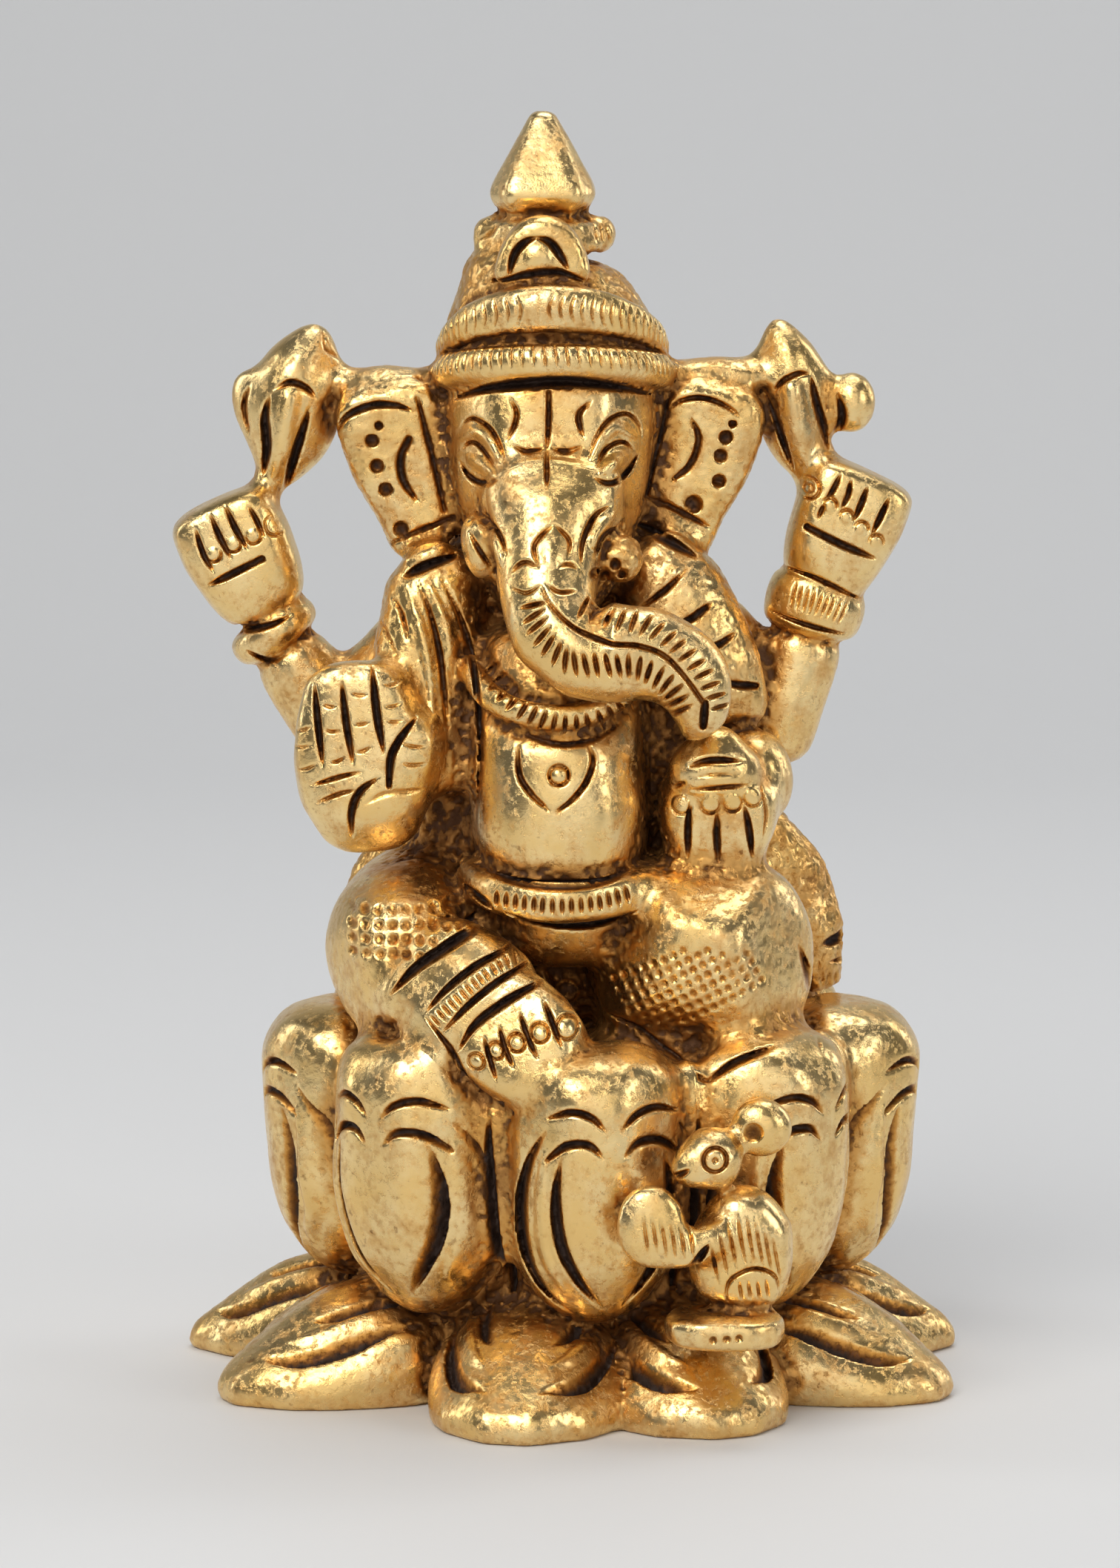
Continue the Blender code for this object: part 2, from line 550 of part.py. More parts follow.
def main():
    clear_scene()
    pedestal_core()
    trunk()
    modak()
    left_front_hand()
    right_front_hand()
    necklace()
    waist_belt()
    belly()
    right_leg()
    left_leg()
    tusks()
    crown()
    head()
    ears()
    shawl()
    attributes()
    rear_fist("right", (-18.7, -0.3, 46.0), -27)
    rear_fist("left", (14.0, -0.3, 47.6), 24)
    bangle("right", (-18.6, -0.2, 45.0), -34, 0.8, 2.9)
    bangle("left", (13.9, -0.2, 46.6), 14, 1.5, 3.0)
    webs()
    rear_arm("right", (-9.0, 0.2, SHOULDER_Z), (-14.9, -0.2, 38.9), (-18.4, -0.2, 44.8))
    rear_arm("left", (7.4, 0.2, SHOULDER_Z), (11.3, -0.2, 38.3), (13.7, -0.2, 45.4))
    torso()
    bolster()
    mouse()
    for number, petal in enumerate(LOWER_PETALS, 1):
        lower_petal(number, *petal)
    for number, petal in enumerate(UPPER_PETALS, 1):
        upper_petal(number, *petal)


main()
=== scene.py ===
"""The looks of a small hand-chased brass Ganesha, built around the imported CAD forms.

Every CAD form becomes one closed piece of metal. The forms are read as distance fields, their facets are
smoothed away, and where two of them touch they flow together as in one casting. Chisel cuts, punch marks
and the casting's grain are then cut into the field before it is meshed. Lengths are millimetres, except
where a name ends in _M, and in the camera, the floor, the lights and the shaders, which are in metres.
"""

import json
import math

import bpy
import numpy as np
import openvdb as vdb
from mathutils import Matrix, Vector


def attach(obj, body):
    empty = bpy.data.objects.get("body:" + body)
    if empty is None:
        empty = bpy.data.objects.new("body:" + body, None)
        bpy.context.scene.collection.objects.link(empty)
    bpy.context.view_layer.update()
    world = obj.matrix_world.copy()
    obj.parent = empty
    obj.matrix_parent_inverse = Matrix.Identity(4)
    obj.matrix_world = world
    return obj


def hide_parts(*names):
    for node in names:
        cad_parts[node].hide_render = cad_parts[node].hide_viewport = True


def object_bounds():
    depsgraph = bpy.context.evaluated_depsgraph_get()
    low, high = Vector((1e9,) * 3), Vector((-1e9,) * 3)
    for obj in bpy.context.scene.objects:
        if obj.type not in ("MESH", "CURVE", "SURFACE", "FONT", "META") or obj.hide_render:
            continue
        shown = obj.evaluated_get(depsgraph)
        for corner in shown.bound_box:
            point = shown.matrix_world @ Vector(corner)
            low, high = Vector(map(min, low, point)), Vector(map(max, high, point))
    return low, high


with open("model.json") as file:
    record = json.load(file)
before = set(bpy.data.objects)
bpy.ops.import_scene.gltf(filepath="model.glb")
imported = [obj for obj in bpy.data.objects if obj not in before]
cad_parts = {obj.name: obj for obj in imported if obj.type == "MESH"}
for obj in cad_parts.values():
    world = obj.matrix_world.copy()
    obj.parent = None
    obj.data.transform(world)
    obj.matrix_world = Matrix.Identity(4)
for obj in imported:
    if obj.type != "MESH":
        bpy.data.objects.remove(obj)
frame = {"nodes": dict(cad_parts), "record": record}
CAD_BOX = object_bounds()

MM = 0.001
COARSE = 0.24  # grid step of the fields that the forms are read into
BAND = 8  # how far, in coarse steps, a form's field reaches
FAR = BAND * COARSE
FILLET = 0.24  # how softly two forms run into each other
TONGUE = 0.25  # how far a piece reaches under its neighbour, so that no seam opens
DIP = 0.35  # how steeply that part sinks under the neighbour's surface
GROW = 0.12  # half the gap that the CAD forms keep, less what smoothing takes away
CREASE = 0.16  # depth of the line where two forms meet
CREASE_WIDTH = 0.3
WAVE = 0.035  # unevenness left by the file
WAVE_REACH = 4.5  # how soft that unevenness is, in coarse steps
ROUGH = 0.2  # depth of the pits in the casting's grain
GRAIN_STEP = 0.08
GRAIN_SIZE = 96  # the grain repeats after this many steps
GRAINS = ((1.1, 0.8), (2.2, 0.7))  # the sizes of its pits, in steps, and how strong each is
PIT_SHARPNESS, PIT_LEVEL = 1.8, 0.25
SEED = 11

# A hollow is where much of the space around is metal. For the space close by and the space further off: how
# far it reaches, the part of it that is metal where the grain starts, and how much more metal it takes until
# the grain has its whole depth.
NEAR_REACH, NEAR_START, NEAR_SPAN = 0.7, 0.57, 0.12
FAR_REACH, FAR_START, FAR_SPAN = 2.0, 0.54, 0.14
STAIN_START, STAIN_SPAN = 0.49, 0.2  # the same for the brown polish
JOIN_STAIN, ROUGH_STAIN = 0.8, 0.5  # how brown the sunk joints and the rough metal are

LOW_M, HIGH_M = (np.array(corner) for corner in CAD_BOX)
ROOM = 2.4  # empty space round the object in the field
FIRST = np.floor((LOW_M / MM - ROOM) / COARSE).astype(int)
SHAPE = np.ceil((HIGH_M / MM + ROOM) / COARSE).astype(int) - FIRST + 1


# ---------------------------------------------------------------- camera, floor, light


def point_camera():
    """A long lens at the idol's front, a little above its middle."""
    distance, height, side = 0.400, 0.0356, -0.00143
    down = math.radians(8.3)
    data = bpy.data.cameras.new("camera")
    camera = bpy.data.objects.new("camera", data)
    bpy.context.scene.collection.objects.link(camera)
    camera.location = (side, -distance * math.cos(down), height + distance * math.sin(down))
    camera.rotation_euler = (math.pi / 2 - down, 0, 0)
    data.sensor_width = 36
    data.lens = 152.2
    data.clip_start = 0.01
    bpy.context.scene.camera = camera


def add_softbox(name, place, size, brightness, colour=(1.0, 1.0, 1.0), height_of_target=0.036):
    """A rectangular lamp turned towards the idol. brightness is its radiance, as a mirror would show it."""
    data = bpy.data.lights.new(name, "AREA")
    data.shape = "RECTANGLE"
    data.size, data.size_y = size
    data.energy = brightness * math.pi * size[0] * size[1]
    data.color = colour
    light = bpy.data.objects.new(name, data)
    bpy.context.scene.collection.objects.link(light)
    light.location = place
    target = np.array((0.0, 0.0, height_of_target))
    aim = target - np.array(place)
    yaw = math.atan2(aim[1], aim[0]) - math.pi / 2
    pitch = math.atan2(aim[2], math.hypot(aim[0], aim[1]))
    light.rotation_euler = (math.pi / 2 + pitch, 0, yaw)


def light_studio():
    add_softbox("key", (-0.20, -0.34, 0.42), (0.36, 0.32), 4.9, (1.0, 0.97, 0.92))
    add_softbox("fill", (0.44, -0.26, 0.20), (0.20, 0.30), 2.8, (1.0, 0.98, 0.95))
    add_softbox("front", (0.02, -0.62, 0.20), (0.64, 0.46), 0.95, (1.0, 0.98, 0.95))
    add_softbox("top", (0.06, 0.10, 0.50), (0.32, 0.30), 3.2)
    add_softbox("rim_left", (-0.42, 0.10, 0.20), (0.12, 0.36), 2.6)
    add_softbox("rim_right", (0.40, 0.24, 0.22), (0.12, 0.36), 2.6)
    world = bpy.data.worlds.new("studio")
    bpy.context.scene.world = world
    world.use_nodes = True
    background = world.node_tree.nodes["Background"]
    background.inputs["Color"].default_value = (0.80, 0.82, 0.84, 1)
    background.inputs["Strength"].default_value = 0.12
    bpy.context.scene.view_settings.view_transform = "Standard"


def lay_floor():
    """A pale floor that curves up behind the object."""
    half_width, front, back, rise, radius, bends = 3.0, -3.0, 0.5, 0.8, 0.25, 12
    profile = [(front, 0.0), (back - radius, 0.0)]
    for bend in range(1, bends + 1):
        a = bend / bends * math.pi / 2
        profile.append((back - radius + radius * math.sin(a), radius - radius * math.cos(a)))
    profile.append((back, rise))
    points = [(x, y, z) for y, z in profile for x in (-half_width, half_width)]
    faces = [(2 * i, 2 * i + 1, 2 * i + 3, 2 * i + 2) for i in range(len(profile) - 1)]
    mesh = bpy.data.meshes.new("floor")
    mesh.from_pydata(points, [], faces)
    mesh.shade_smooth()
    floor = bpy.data.objects.new("floor", mesh)
    bpy.context.scene.collection.objects.link(floor)
    material = bpy.data.materials.new("floor_paper")
    material.use_nodes = True
    shader = material.node_tree.nodes["Principled BSDF"]
    shader.inputs["Base Color"].default_value = (0.70, 0.71, 0.725, 1)
    shader.inputs["Roughness"].default_value = 0.6
    mesh.materials.append(material)


# ---------------------------------------------------------------- fields on a regular grid


def blur(field, sigma):
    """Gaussian blur of a grid, sigma in grid steps, edges repeated."""
    reach = max(1, int(math.ceil(2.5 * sigma)))
    taps = np.exp(-0.5 * (np.arange(-reach, reach + 1) / sigma) ** 2)
    taps = (taps / taps.sum()).astype(np.float32)
    for axis in range(3):
        padded = np.pad(field, [(reach, reach) if a == axis else (0, 0) for a in range(3)], "edge")
        out = np.zeros_like(field)
        for i, tap in enumerate(taps):
            window = [slice(None)] * 3
            window[axis] = slice(i, i + field.shape[axis])
            out += tap * padded[tuple(window)]
        field = out
    return field


def finer(field, times):
    """The grid resampled to times as many steps, by a cubic that passes through its values."""
    for axis in range(3):
        padded = np.pad(field, [(1, 2) if a == axis else (0, 0) for a in range(3)], "edge")
        length = field.shape[axis]
        shape = list(field.shape)
        shape[axis] = length * times
        out = np.empty(shape, np.float32)
        for k in range(times):
            t = k / times
            weights = (
                -0.5 * t + t**2 - 0.5 * t**3,
                1 - 2.5 * t**2 + 1.5 * t**3,
                0.5 * t + 2 * t**2 - 1.5 * t**3,
                -0.5 * t**2 + 0.5 * t**3,
            )
            part = 0
            for i, weight in enumerate(weights):
                window = [slice(None)] * 3
                window[axis] = slice(i, i + length)
                part = part + np.float32(weight) * padded[tuple(window)]
            window = [slice(None)] * 3
            window[axis] = slice(k, None, times)
            out[tuple(window)] = part
        field = out
    return field


def sample(field, first, step, points):
    """The field's value at points, read between grid steps."""
    place = points / step - first
    place = np.clip(place, 0, np.array(field.shape) - 1.001)
    low = place.astype(int)
    t = (place - low).astype(np.float32)
    value = np.zeros(len(points), np.float32)
    for corner in range(8):
        offset = [(corner >> a) & 1 for a in range(3)]
        weight = np.ones(len(points), np.float32)
        for a in range(3):
            weight *= t[:, a] if offset[a] else 1 - t[:, a]
        value += weight * field[low[:, 0] + offset[0], low[:, 1] + offset[1], low[:, 2] + offset[2]]
    return value


def triangles_mm(obj):
    mesh = obj.data
    mesh.calc_loop_triangles()
    points = np.empty(len(mesh.vertices) * 3, np.float32)
    mesh.vertices.foreach_get("co", points)
    corners = np.empty(len(mesh.loop_triangles) * 3, np.int32)
    mesh.loop_triangles.foreach_get("vertices", corners)
    return points.reshape(-1, 3) / MM, corners.reshape(-1, 3).astype(np.uint32)

# ---------------------------------------------------------------- chisel work


def curve_through(points, step):
    """Evenly stepped points of a smooth curve through a few."""
    given = np.array(points, float)
    padded = np.vstack([2 * given[0] - given[1], given, 2 * given[-1] - given[-2]])
    out = []
    for i in range(len(given) - 1):
        a, b, c, d = padded[i : i + 4]
        count = max(2, int(np.linalg.norm(c - b) / step))
        for t in np.arange(count) / count:
            square, cube = 2 * a - 5 * b + 4 * c - d, 3 * b - a - 3 * c + d
            out.append((2 * b + (c - a) * t + square * t**2 + cube * t**3) / 2)
    out.append(given[-1])
    return np.array(out)


class Front:
    """Seen from the front: u to the viewer's right, v up."""

    outward = (0.0, -1.0, 0.0)

    def sheet_of(self, grid):
        return grid.x, grid.z

    def facing(self, slopes, grid):
        return -slopes[1]


class Outside:
    """Seen from outside in one direction round the upright axis: u along the ring, v up."""

    def __init__(self, azimuth):
        self.sine, self.cosine = math.sin(math.radians(azimuth)), math.cos(math.radians(azimuth))

    def sheet_of(self, grid):
        return grid.x * self.cosine + grid.y * self.sine, grid.z

    def facing(self, slopes, grid):
        return slopes[0] * self.sine - slopes[1] * self.cosine


class Above(Outside):
    """Seen from above: u across, v outwards in the given direction round the upright axis."""

    def sheet_of(self, grid):
        return grid.x * self.cosine + grid.y * self.sine, grid.x * self.sine - grid.y * self.cosine

    def facing(self, slopes, grid):
        return slopes[2]


class Round:
    """Unrolled round an upright axis: u is the angle in degrees from the front, v up."""

    def __init__(self, x, y):
        self.x, self.y = x, y

    def sheet_of(self, grid):
        return np.degrees(np.arctan2(grid.x - self.x, self.y - grid.y)), grid.z

    def facing(self, slopes, grid):
        across, along = grid.x - self.x, grid.y - self.y
        reach = np.sqrt(across**2 + along**2) + 0.1
        return (slopes[0] * across + slopes[1] * along) / reach


class Board:
    """What the chisel takes off and what is left standing, drawn on a flat sheet in one view."""

    STEP = 0.06
    EDGE = 1.5  # room round the marks
    LEAST_PART = 0.08  # a stroke ends where less than this part of its width is left
    LEAST_FACING, FACING_SPAN = 0.05, 0.35  # metal that turns further away from the view is cut less

    def __init__(self, view, low, high, u_scale=1.0):
        self.view = view
        self.low = np.array(low, float) - self.EDGE
        count = ((np.array(high, float) + self.EDGE - self.low) / self.STEP).astype(int)
        self.scale = np.array([u_scale, 1.0])
        self.taken = np.zeros(count, np.float32)
        self.raised = np.zeros(count, np.float32)

    def press(self, sheet, centre, radius, height, shape):
        """One mark of a tool: shape gives the height at each part of the radius."""
        place = (np.asarray(centre) - self.low) / self.STEP
        reach = radius / self.STEP
        low = np.maximum(np.floor(place - reach).astype(int), 0)
        high = np.minimum(np.ceil(place + reach).astype(int) + 1, sheet.shape)
        if (low >= high).any():
            return
        u = (np.arange(low[0], high[0]) - place[0])[:, None] / reach
        v = (np.arange(low[1], high[1]) - place[1])[None, :] / reach
        mark = height * shape(np.minimum(np.hypot(u, v), 1.0))
        window = sheet[low[0] : high[0], low[1] : high[1]]
        np.maximum(window, mark, out=window)

    @staticmethod
    def vee(r):
        return 1 - r**1.25

    @staticmethod
    def dome(r):
        return np.sqrt(1 - r * r)

    @staticmethod
    def swell(r):
        return (1 - r * r) ** 1.5

    def line(self, sheet, points, width, height, ends, shape):
        path = curve_through(points, self.STEP)
        for i, place in enumerate(path):
            t = i / (len(path) - 1)
            end = ends[0] * (1 - t) + ends[1] * t
            part = end + (1 - end) * (1 - abs(2 * t - 1) ** 2.4)
            if part > self.LEAST_PART:
                self.press(sheet, place, width / 2 * part, height * part, shape)

    def cut(self, points, width=0.5, depth=0.4, ends=(0.15, 0.15)):
        """A graver's stroke; ends give how much of the width is left at its two ends."""
        self.line(self.taken, points, width, depth, ends, self.vee)

    def ridge(self, points, width=0.9, height=0.3, ends=(0.3, 0.3)):
        self.line(self.raised, points, width, height, ends, self.swell)

    def dot(self, centre, radius, depth=0.35):
        self.press(self.taken, centre, radius, depth, self.dome)

    def bead(self, centre, radius, height=0.3):
        self.press(self.raised, centre, radius, height, self.dome)

    def ring(self, centre, radius, width=0.24, depth=0.25, first=0, last=360):
        angles = np.radians(np.linspace(first, last, 13))
        points = [(centre[0] + radius * math.cos(a), centre[1] + radius * math.sin(a)) for a in angles]
        whole = 1.0 if last - first >= 360 else 0.2
        self.cut(points, width, depth, (whole, whole))

    def ribs(self, points, count, length, width=0.26, depth=0.2, lean=0.0, bow=0.0):
        """Short cuts across a line: lean moves their far ends along it, bow their middles."""
        path = curve_through(points, self.STEP)
        for i in range(count):
            k = min(len(path) - 2, int((i + 0.5) / count * (len(path) - 1)))
            along = path[k + 1] - path[k]
            along /= np.linalg.norm(along)
            across = np.array([-along[1], along[0]]) * length / 2
            middle = path[k] + along * bow
            self.cut([path[k] - across, middle, path[k] + across + along * lean], width, depth)

    def checks(self, corner, columns, rows, pitch, size, depth, turn=0.0, inside=None):
        """Rows of small square punch marks."""
        c, s = math.cos(math.radians(turn)), math.sin(math.radians(turn))
        for row in range(rows):
            for column in range(columns):
                a, b = column * pitch, row * pitch
                place = (corner[0] + a * c - b * s, corner[1] + a * s + b * c)
                if inside is None or inside(*place):
                    self.press(self.taken, place, size * 0.62, depth, lambda r: 1 - r**4)

    def read(self, sheet, u, v):
        """A sheet's value at u, v, which broadcast against each other."""
        a = np.clip((u - self.low[0]) / self.STEP, 0, sheet.shape[0] - 1.01)
        b = np.clip((v - self.low[1]) / self.STEP, 0, sheet.shape[1] - 1.01)
        i, j = a.astype(int), b.astype(int)
        s, t = (a - i).astype(np.float32), (b - j).astype(np.float32)
        near = sheet[i, j] * (1 - t) + sheet[i, j + 1] * t
        far = sheet[i + 1, j] * (1 - t) + sheet[i + 1, j + 1] * t
        return near * (1 - s) + far * s

    def carve(self, slopes, grid):
        """(what is taken off, what is left standing) all over a grid, on the side that the view sees."""
        u, v = self.view.sheet_of(grid)
        u = u * self.scale[0]
        faces = np.clip((self.view.facing(slopes, grid) - self.LEAST_FACING) / self.FACING_SPAN, 0, 1)
        return self.read(self.taken, u, v) * faces, self.read(self.raised, u, v) * faces


WORK = {}  # the boards that each form's piece is carved with


def chase(view, low, high, *names, u_scale=1.0):
    board = Board(view, low, high, u_scale)
    for name in names:
        WORK.setdefault(name, []).append(board)
    return board


def chase_crown():
    arch = chase(Front(), (-9, 61), (6, 76), "crown_crest", "crown_dome", "crown_upper_band")
    arch.cut([(-4.4, 66.9), (-4.1, 68.0), (-3.5, 68.7), (-2.8, 69.0)], 0.6, 0.5, (0.5, 0.3))
    arch.cut([(-2.8, 69.0), (-2.0, 68.7), (-1.4, 67.9), (-1.0, 67.2)], 0.6, 0.5, (0.3, 0.4))
    arch.ridge([(-3.3, 67.4), (-2.7, 67.9), (-2.1, 67.4)], 1.5, 0.25)
    arch.cut([(-5.4, 66.3), (-3.2, 66.8), (-1.4, 66.9), (0.5, 66.2)], 0.6, 0.55, (0.4, 0.2))
    collar = chase(Front(), (-7, 67), (3, 71), "crown_collar")
    for x in (0.7, 1.05, 1.4):
        collar.cut([(x - 0.2, 69.7), (x + 0.15, 68.2)], 0.22, 0.18)
    collar.cut([(-6.4, 68.4), (-5.6, 68.9), (-5.0, 69.6)], 0.3, 0.2)
    axis = Round(-1.9, -1.6)
    per_degree = 0.12  # sheet millimetres for each degree round the crown
    half_turn = 180 * per_degree
    upper = chase(axis, (-half_turn, 58), (half_turn, 68), "crown_upper_band", u_scale=per_degree)
    lower = chase(axis, (-half_turn, 56), (half_turn, 65), "crown_lower_band", u_scale=per_degree)

    def front_part(degrees):
        return max(0.0, math.cos(math.radians(degrees)))

    parting = [(a * per_degree, 61.4 + 1.75 * front_part(a)) for a in range(-80, 81, 10)]
    for board in (upper, lower):
        board.cut(parting, 0.75, 0.8, (0.1, 0.1))
    right_side = [5.2 * i for i in range(34)]
    left_side = [-16.5 - 6.2 * i for i in range(27)]
    for degrees in right_side + left_side:
        bend = 0.18 if degrees >= 0 else -0.18
        u, v = degrees * per_degree, 62.1 + 2.8 * front_part(degrees)
        reach = 0.62 + 0.42 * front_part(degrees)
        upper.cut([(u + bend, v + reach), (u - bend, v), (u + bend * 0.6, v - reach)], 0.24, 0.2)
    for degrees in range(-178, 180, 5):
        u, v = degrees * per_degree, 60.55 + 1.45 * front_part(degrees)
        lower.cut([(u - 0.1, v + 0.85), (u + 0.05, v - 0.6)], 0.22, 0.17, (0.9, 0.1))


def chase_face():
    face = chase(
        Front(), (-9, 46), (6, 62), "head", "trunk", "right_tusk", "left_broken_tusk", "crown_lower_band"
    )
    face.cut([(-7.7, 59.3), (-5.8, 60.1), (-3.3, 60.5), (-0.6, 60.6), (2.0, 60.2), (3.9, 59.6)], 0.8, 0.75)
    # forehead lines
    face.cut([(-2.1, 60.0), (-2.1, 58.4), (-2.2, 56.8)], 0.42, 0.35, (0.9, 0.3))
    face.cut([(-2.2, 56.7), (-2.2, 55.7), (-2.2, 54.5)], 0.4, 0.3, (0.4, 0.1))
    face.cut([(-4.4, 59.7), (-4.0, 58.9), (-4.1, 58.1), (-4.6, 57.1)], 0.42, 0.3)
    face.cut([(0.5, 59.6), (-0.3, 58.8), (-0.3, 58.1), (0.0, 57.3)], 0.46, 0.32)
    face.cut([(-4.3, 57.0), (-3.4, 56.6), (-2.3, 56.8)], 0.34, 0.25)
    face.cut([(-2.0, 56.8), (-1.1, 56.6), (-0.1, 56.9)], 0.34, 0.25)
    # right eye, at the viewer's left
    face.ridge([(-7.3, 57.0), (-6.5, 57.6), (-5.7, 57.2), (-5.0, 56.0)], 1.0, 0.35)
    face.cut([(-7.4, 57.6), (-6.6, 58.3), (-5.6, 57.9), (-5.0, 57.0), (-4.6, 55.9)], 0.34, 0.3)
    face.cut([(-7.3, 56.4), (-6.6, 56.9), (-6.0, 56.6), (-5.2, 55.6)], 0.34, 0.32)
    face.ridge([(-6.9, 56.0), (-6.1, 55.7), (-5.3, 55.2)], 1.1, 0.4)
    face.cut([(-7.4, 55.7), (-6.8, 54.9), (-6.0, 54.6), (-4.9, 55.1)], 0.44, 0.42)
    # left eye
    face.ridge([(0.4, 56.2), (1.1, 57.4), (2.0, 57.9), (3.0, 57.2)], 1.0, 0.35)
    face.cut([(0.2, 56.2), (0.7, 57.4), (1.5, 58.4), (2.5, 58.6), (3.2, 57.9), (3.4, 57.0)], 0.34, 0.3)
    face.cut([(0.6, 55.6), (1.3, 56.7), (2.2, 57.0), (3.0, 56.4)], 0.34, 0.34)
    face.ridge([(1.0, 55.4), (1.8, 56.0), (2.6, 56.1)], 1.1, 0.4)
    face.cut([(0.5, 55.2), (1.4, 54.8), (2.4, 55.1), (3.2, 56.2)], 0.46, 0.45)
    # cheeks and the roots of the tusks
    face.ridge([(-6.3, 52.3), (-5.4, 51.4), (-4.9, 50.2)], 1.2, 0.4)
    face.cut([(-6.9, 52.2), (-6.3, 52.8), (-5.6, 52.6), (-4.9, 51.8), (-4.5, 50.7)], 0.36, 0.35)
    face.cut([(-6.8, 52.0), (-6.1, 50.8), (-5.3, 49.6)], 0.4, 0.4)
    face.ridge([(0.5, 51.2), (0.9, 52.2), (1.7, 53.0)], 1.1, 0.4)
    face.cut([(-0.2, 50.2), (-0.1, 51.6), (0.6, 53.0), (1.7, 53.6)], 0.4, 0.38)
    face.cut([(0.6, 50.6), (1.1, 51.8), (2.0, 52.2)], 0.4, 0.4)
    for centre, radius in (((1.8, 50.1), 0.36), ((2.2, 49.5), 0.3), ((1.2, 49.4), 0.34), ((0.6, 49.7), 0.3)):
        face.dot(centre, radius, 0.4)
    # the three petals at the trunk's root
    face.ridge([(-1.9, 50.4), (-1.9, 51.9)], 1.5, 0.16)
    face.cut([(-2.7, 50.3), (-2.9, 51.5), (-1.8, 52.7)], 0.36, 0.28, (0.5, 0.2))
    face.cut([(-1.8, 52.7), (-0.9, 51.7), (-1.0, 50.7)], 0.34, 0.26, (0.2, 0.3))
    face.cut([(-4.4, 49.8), (-3.5, 50.5), (-2.5, 50.2)], 0.36, 0.28)
    face.cut([(-4.4, 49.1), (-3.4, 48.8), (-2.5, 49.3)], 0.32, 0.24)
    face.cut([(-1.6, 50.2), (-1.0, 50.4), (-0.3, 50.1)], 0.34, 0.24)
    face.cut([(-2.3, 49.4), (-1.5, 48.9), (-0.4, 48.9)], 0.34, 0.26)


def chase_trunk():
    trunk = chase(Front(), (-6, 40), (9, 50), "trunk")
    middle = [(-2.5, 49.2), (-2.0, 48.2), (-0.6, 46.9), (1.3, 46.1), (3.1, 45.9), (4.6, 45.3), (5.9, 43.9)]
    trunk.cut(middle + [(7.0, 42.3)], 0.42, 0.32, (0.4, 0.9))
    trunk.cut([(7.0, 42.5), (6.9, 41.0)], 0.6, 0.5, (0.7, 0.9))
    below = [(-3.0, 48.2), (-2.9, 47.3), (-2.2, 46.0), (-0.9, 45.0), (0.9, 44.8), (2.7, 44.7), (4.1, 44.1)]
    trunk.ribs(below + [(5.2, 43.0), (5.8, 41.4)], 20, 1.7, 0.38, 0.32, lean=-0.45, bow=-0.24)
    above = [(-0.6, 48.1), (1.7, 47.4), (3.3, 47.1), (4.6, 46.4), (5.9, 45.3), (7.1, 43.8), (8.0, 41.9)]
    trunk.ribs(above, 15, 1.4, 0.36, 0.3, lean=0.35, bow=0.16)


def chase_ears():
    nearby = ("torso", "head")
    right = chase(Front(), (-15, 48), (-7, 61), "right_ear", "right_web", "shawl_right_fall", *nearby)
    brim = [(-14.7, 57.3), (-14.0, 58.2), (-12.6, 58.8), (-11.2, 58.8), (-9.9, 58.4)]
    right.cut(brim, 0.55, 0.5, (0.5, 0.1))
    right.cut([(-9.9, 59.3), (-9.4, 57.3), (-8.9, 55.3), (-8.3, 52.5)], 0.42, 0.42, (0.6, 0.9))
    right.cut(
        [(-10.4, 56.8), (-10.9, 55.7), (-10.8, 54.5), (-10.3, 53.6), (-9.7, 52.9)], 0.6, 0.45, (0.9, 0)
    )
    for x, z, radius in ((-12.2, 57.6, 0.28), (-12.6, 56.7, 0.42), (-12.3, 55.2, 0.44), (-11.8, 53.8, 0.44)):
        right.dot((x, z), radius)
    right.dot((-10.9, 51.4), 0.5)
    right.cut([(-11.8, 50.4), (-9.9, 51.3), (-7.8, 52.1)], 0.4, 0.38, (0.2, 0.9))
    right.ridge([(-11.0, 49.8), (-9.5, 50.3), (-7.9, 51.0)], 1.3, 0.25, (0.8, 0.8))
    right.cut([(-10.7, 48.8), (-9.3, 49.5), (-7.7, 50.0)], 0.7, 0.6, (0.2, 0.6))
    left = chase(Front(), (3, 48), (11, 62), "left_ear", "left_web", "shawl_left_fall", *nearby)
    left.cut([(4.6, 58.2), (5.8, 59.1), (7.2, 59.2), (8.5, 58.7), (9.5, 57.9)], 0.42, 0.42)
    left.cut([(5.1, 60.0), (4.7, 57.7), (4.2, 55.6), (3.7, 53.4)], 0.46, 0.45, (0.9, 0.8))
    left.cut([(6.3, 58.1), (6.8, 56.8), (6.3, 55.3), (5.2, 54.3)], 0.5, 0.4, (0.3, 0.5))
    for x, z, radius in ((8.8, 57.7, 0.26), (8.4, 56.9, 0.44), (8.1, 55.8, 0.42), (8.0, 54.3, 0.44)):
        left.dot((x, z), radius)
    left.dot((6.5, 52.9), 0.55)
    left.cut([(3.6, 53.4), (5.5, 52.6), (7.5, 51.5)], 0.42, 0.4, (0.8, 0.4))
    left.ridge([(3.8, 52.5), (5.2, 51.9), (6.8, 50.9)], 1.3, 0.25, (0.8, 0.8))
    left.cut([(3.0, 51.8), (4.6, 51.1), (6.6, 50.0)], 0.7, 0.6, (0.6, 0.4))


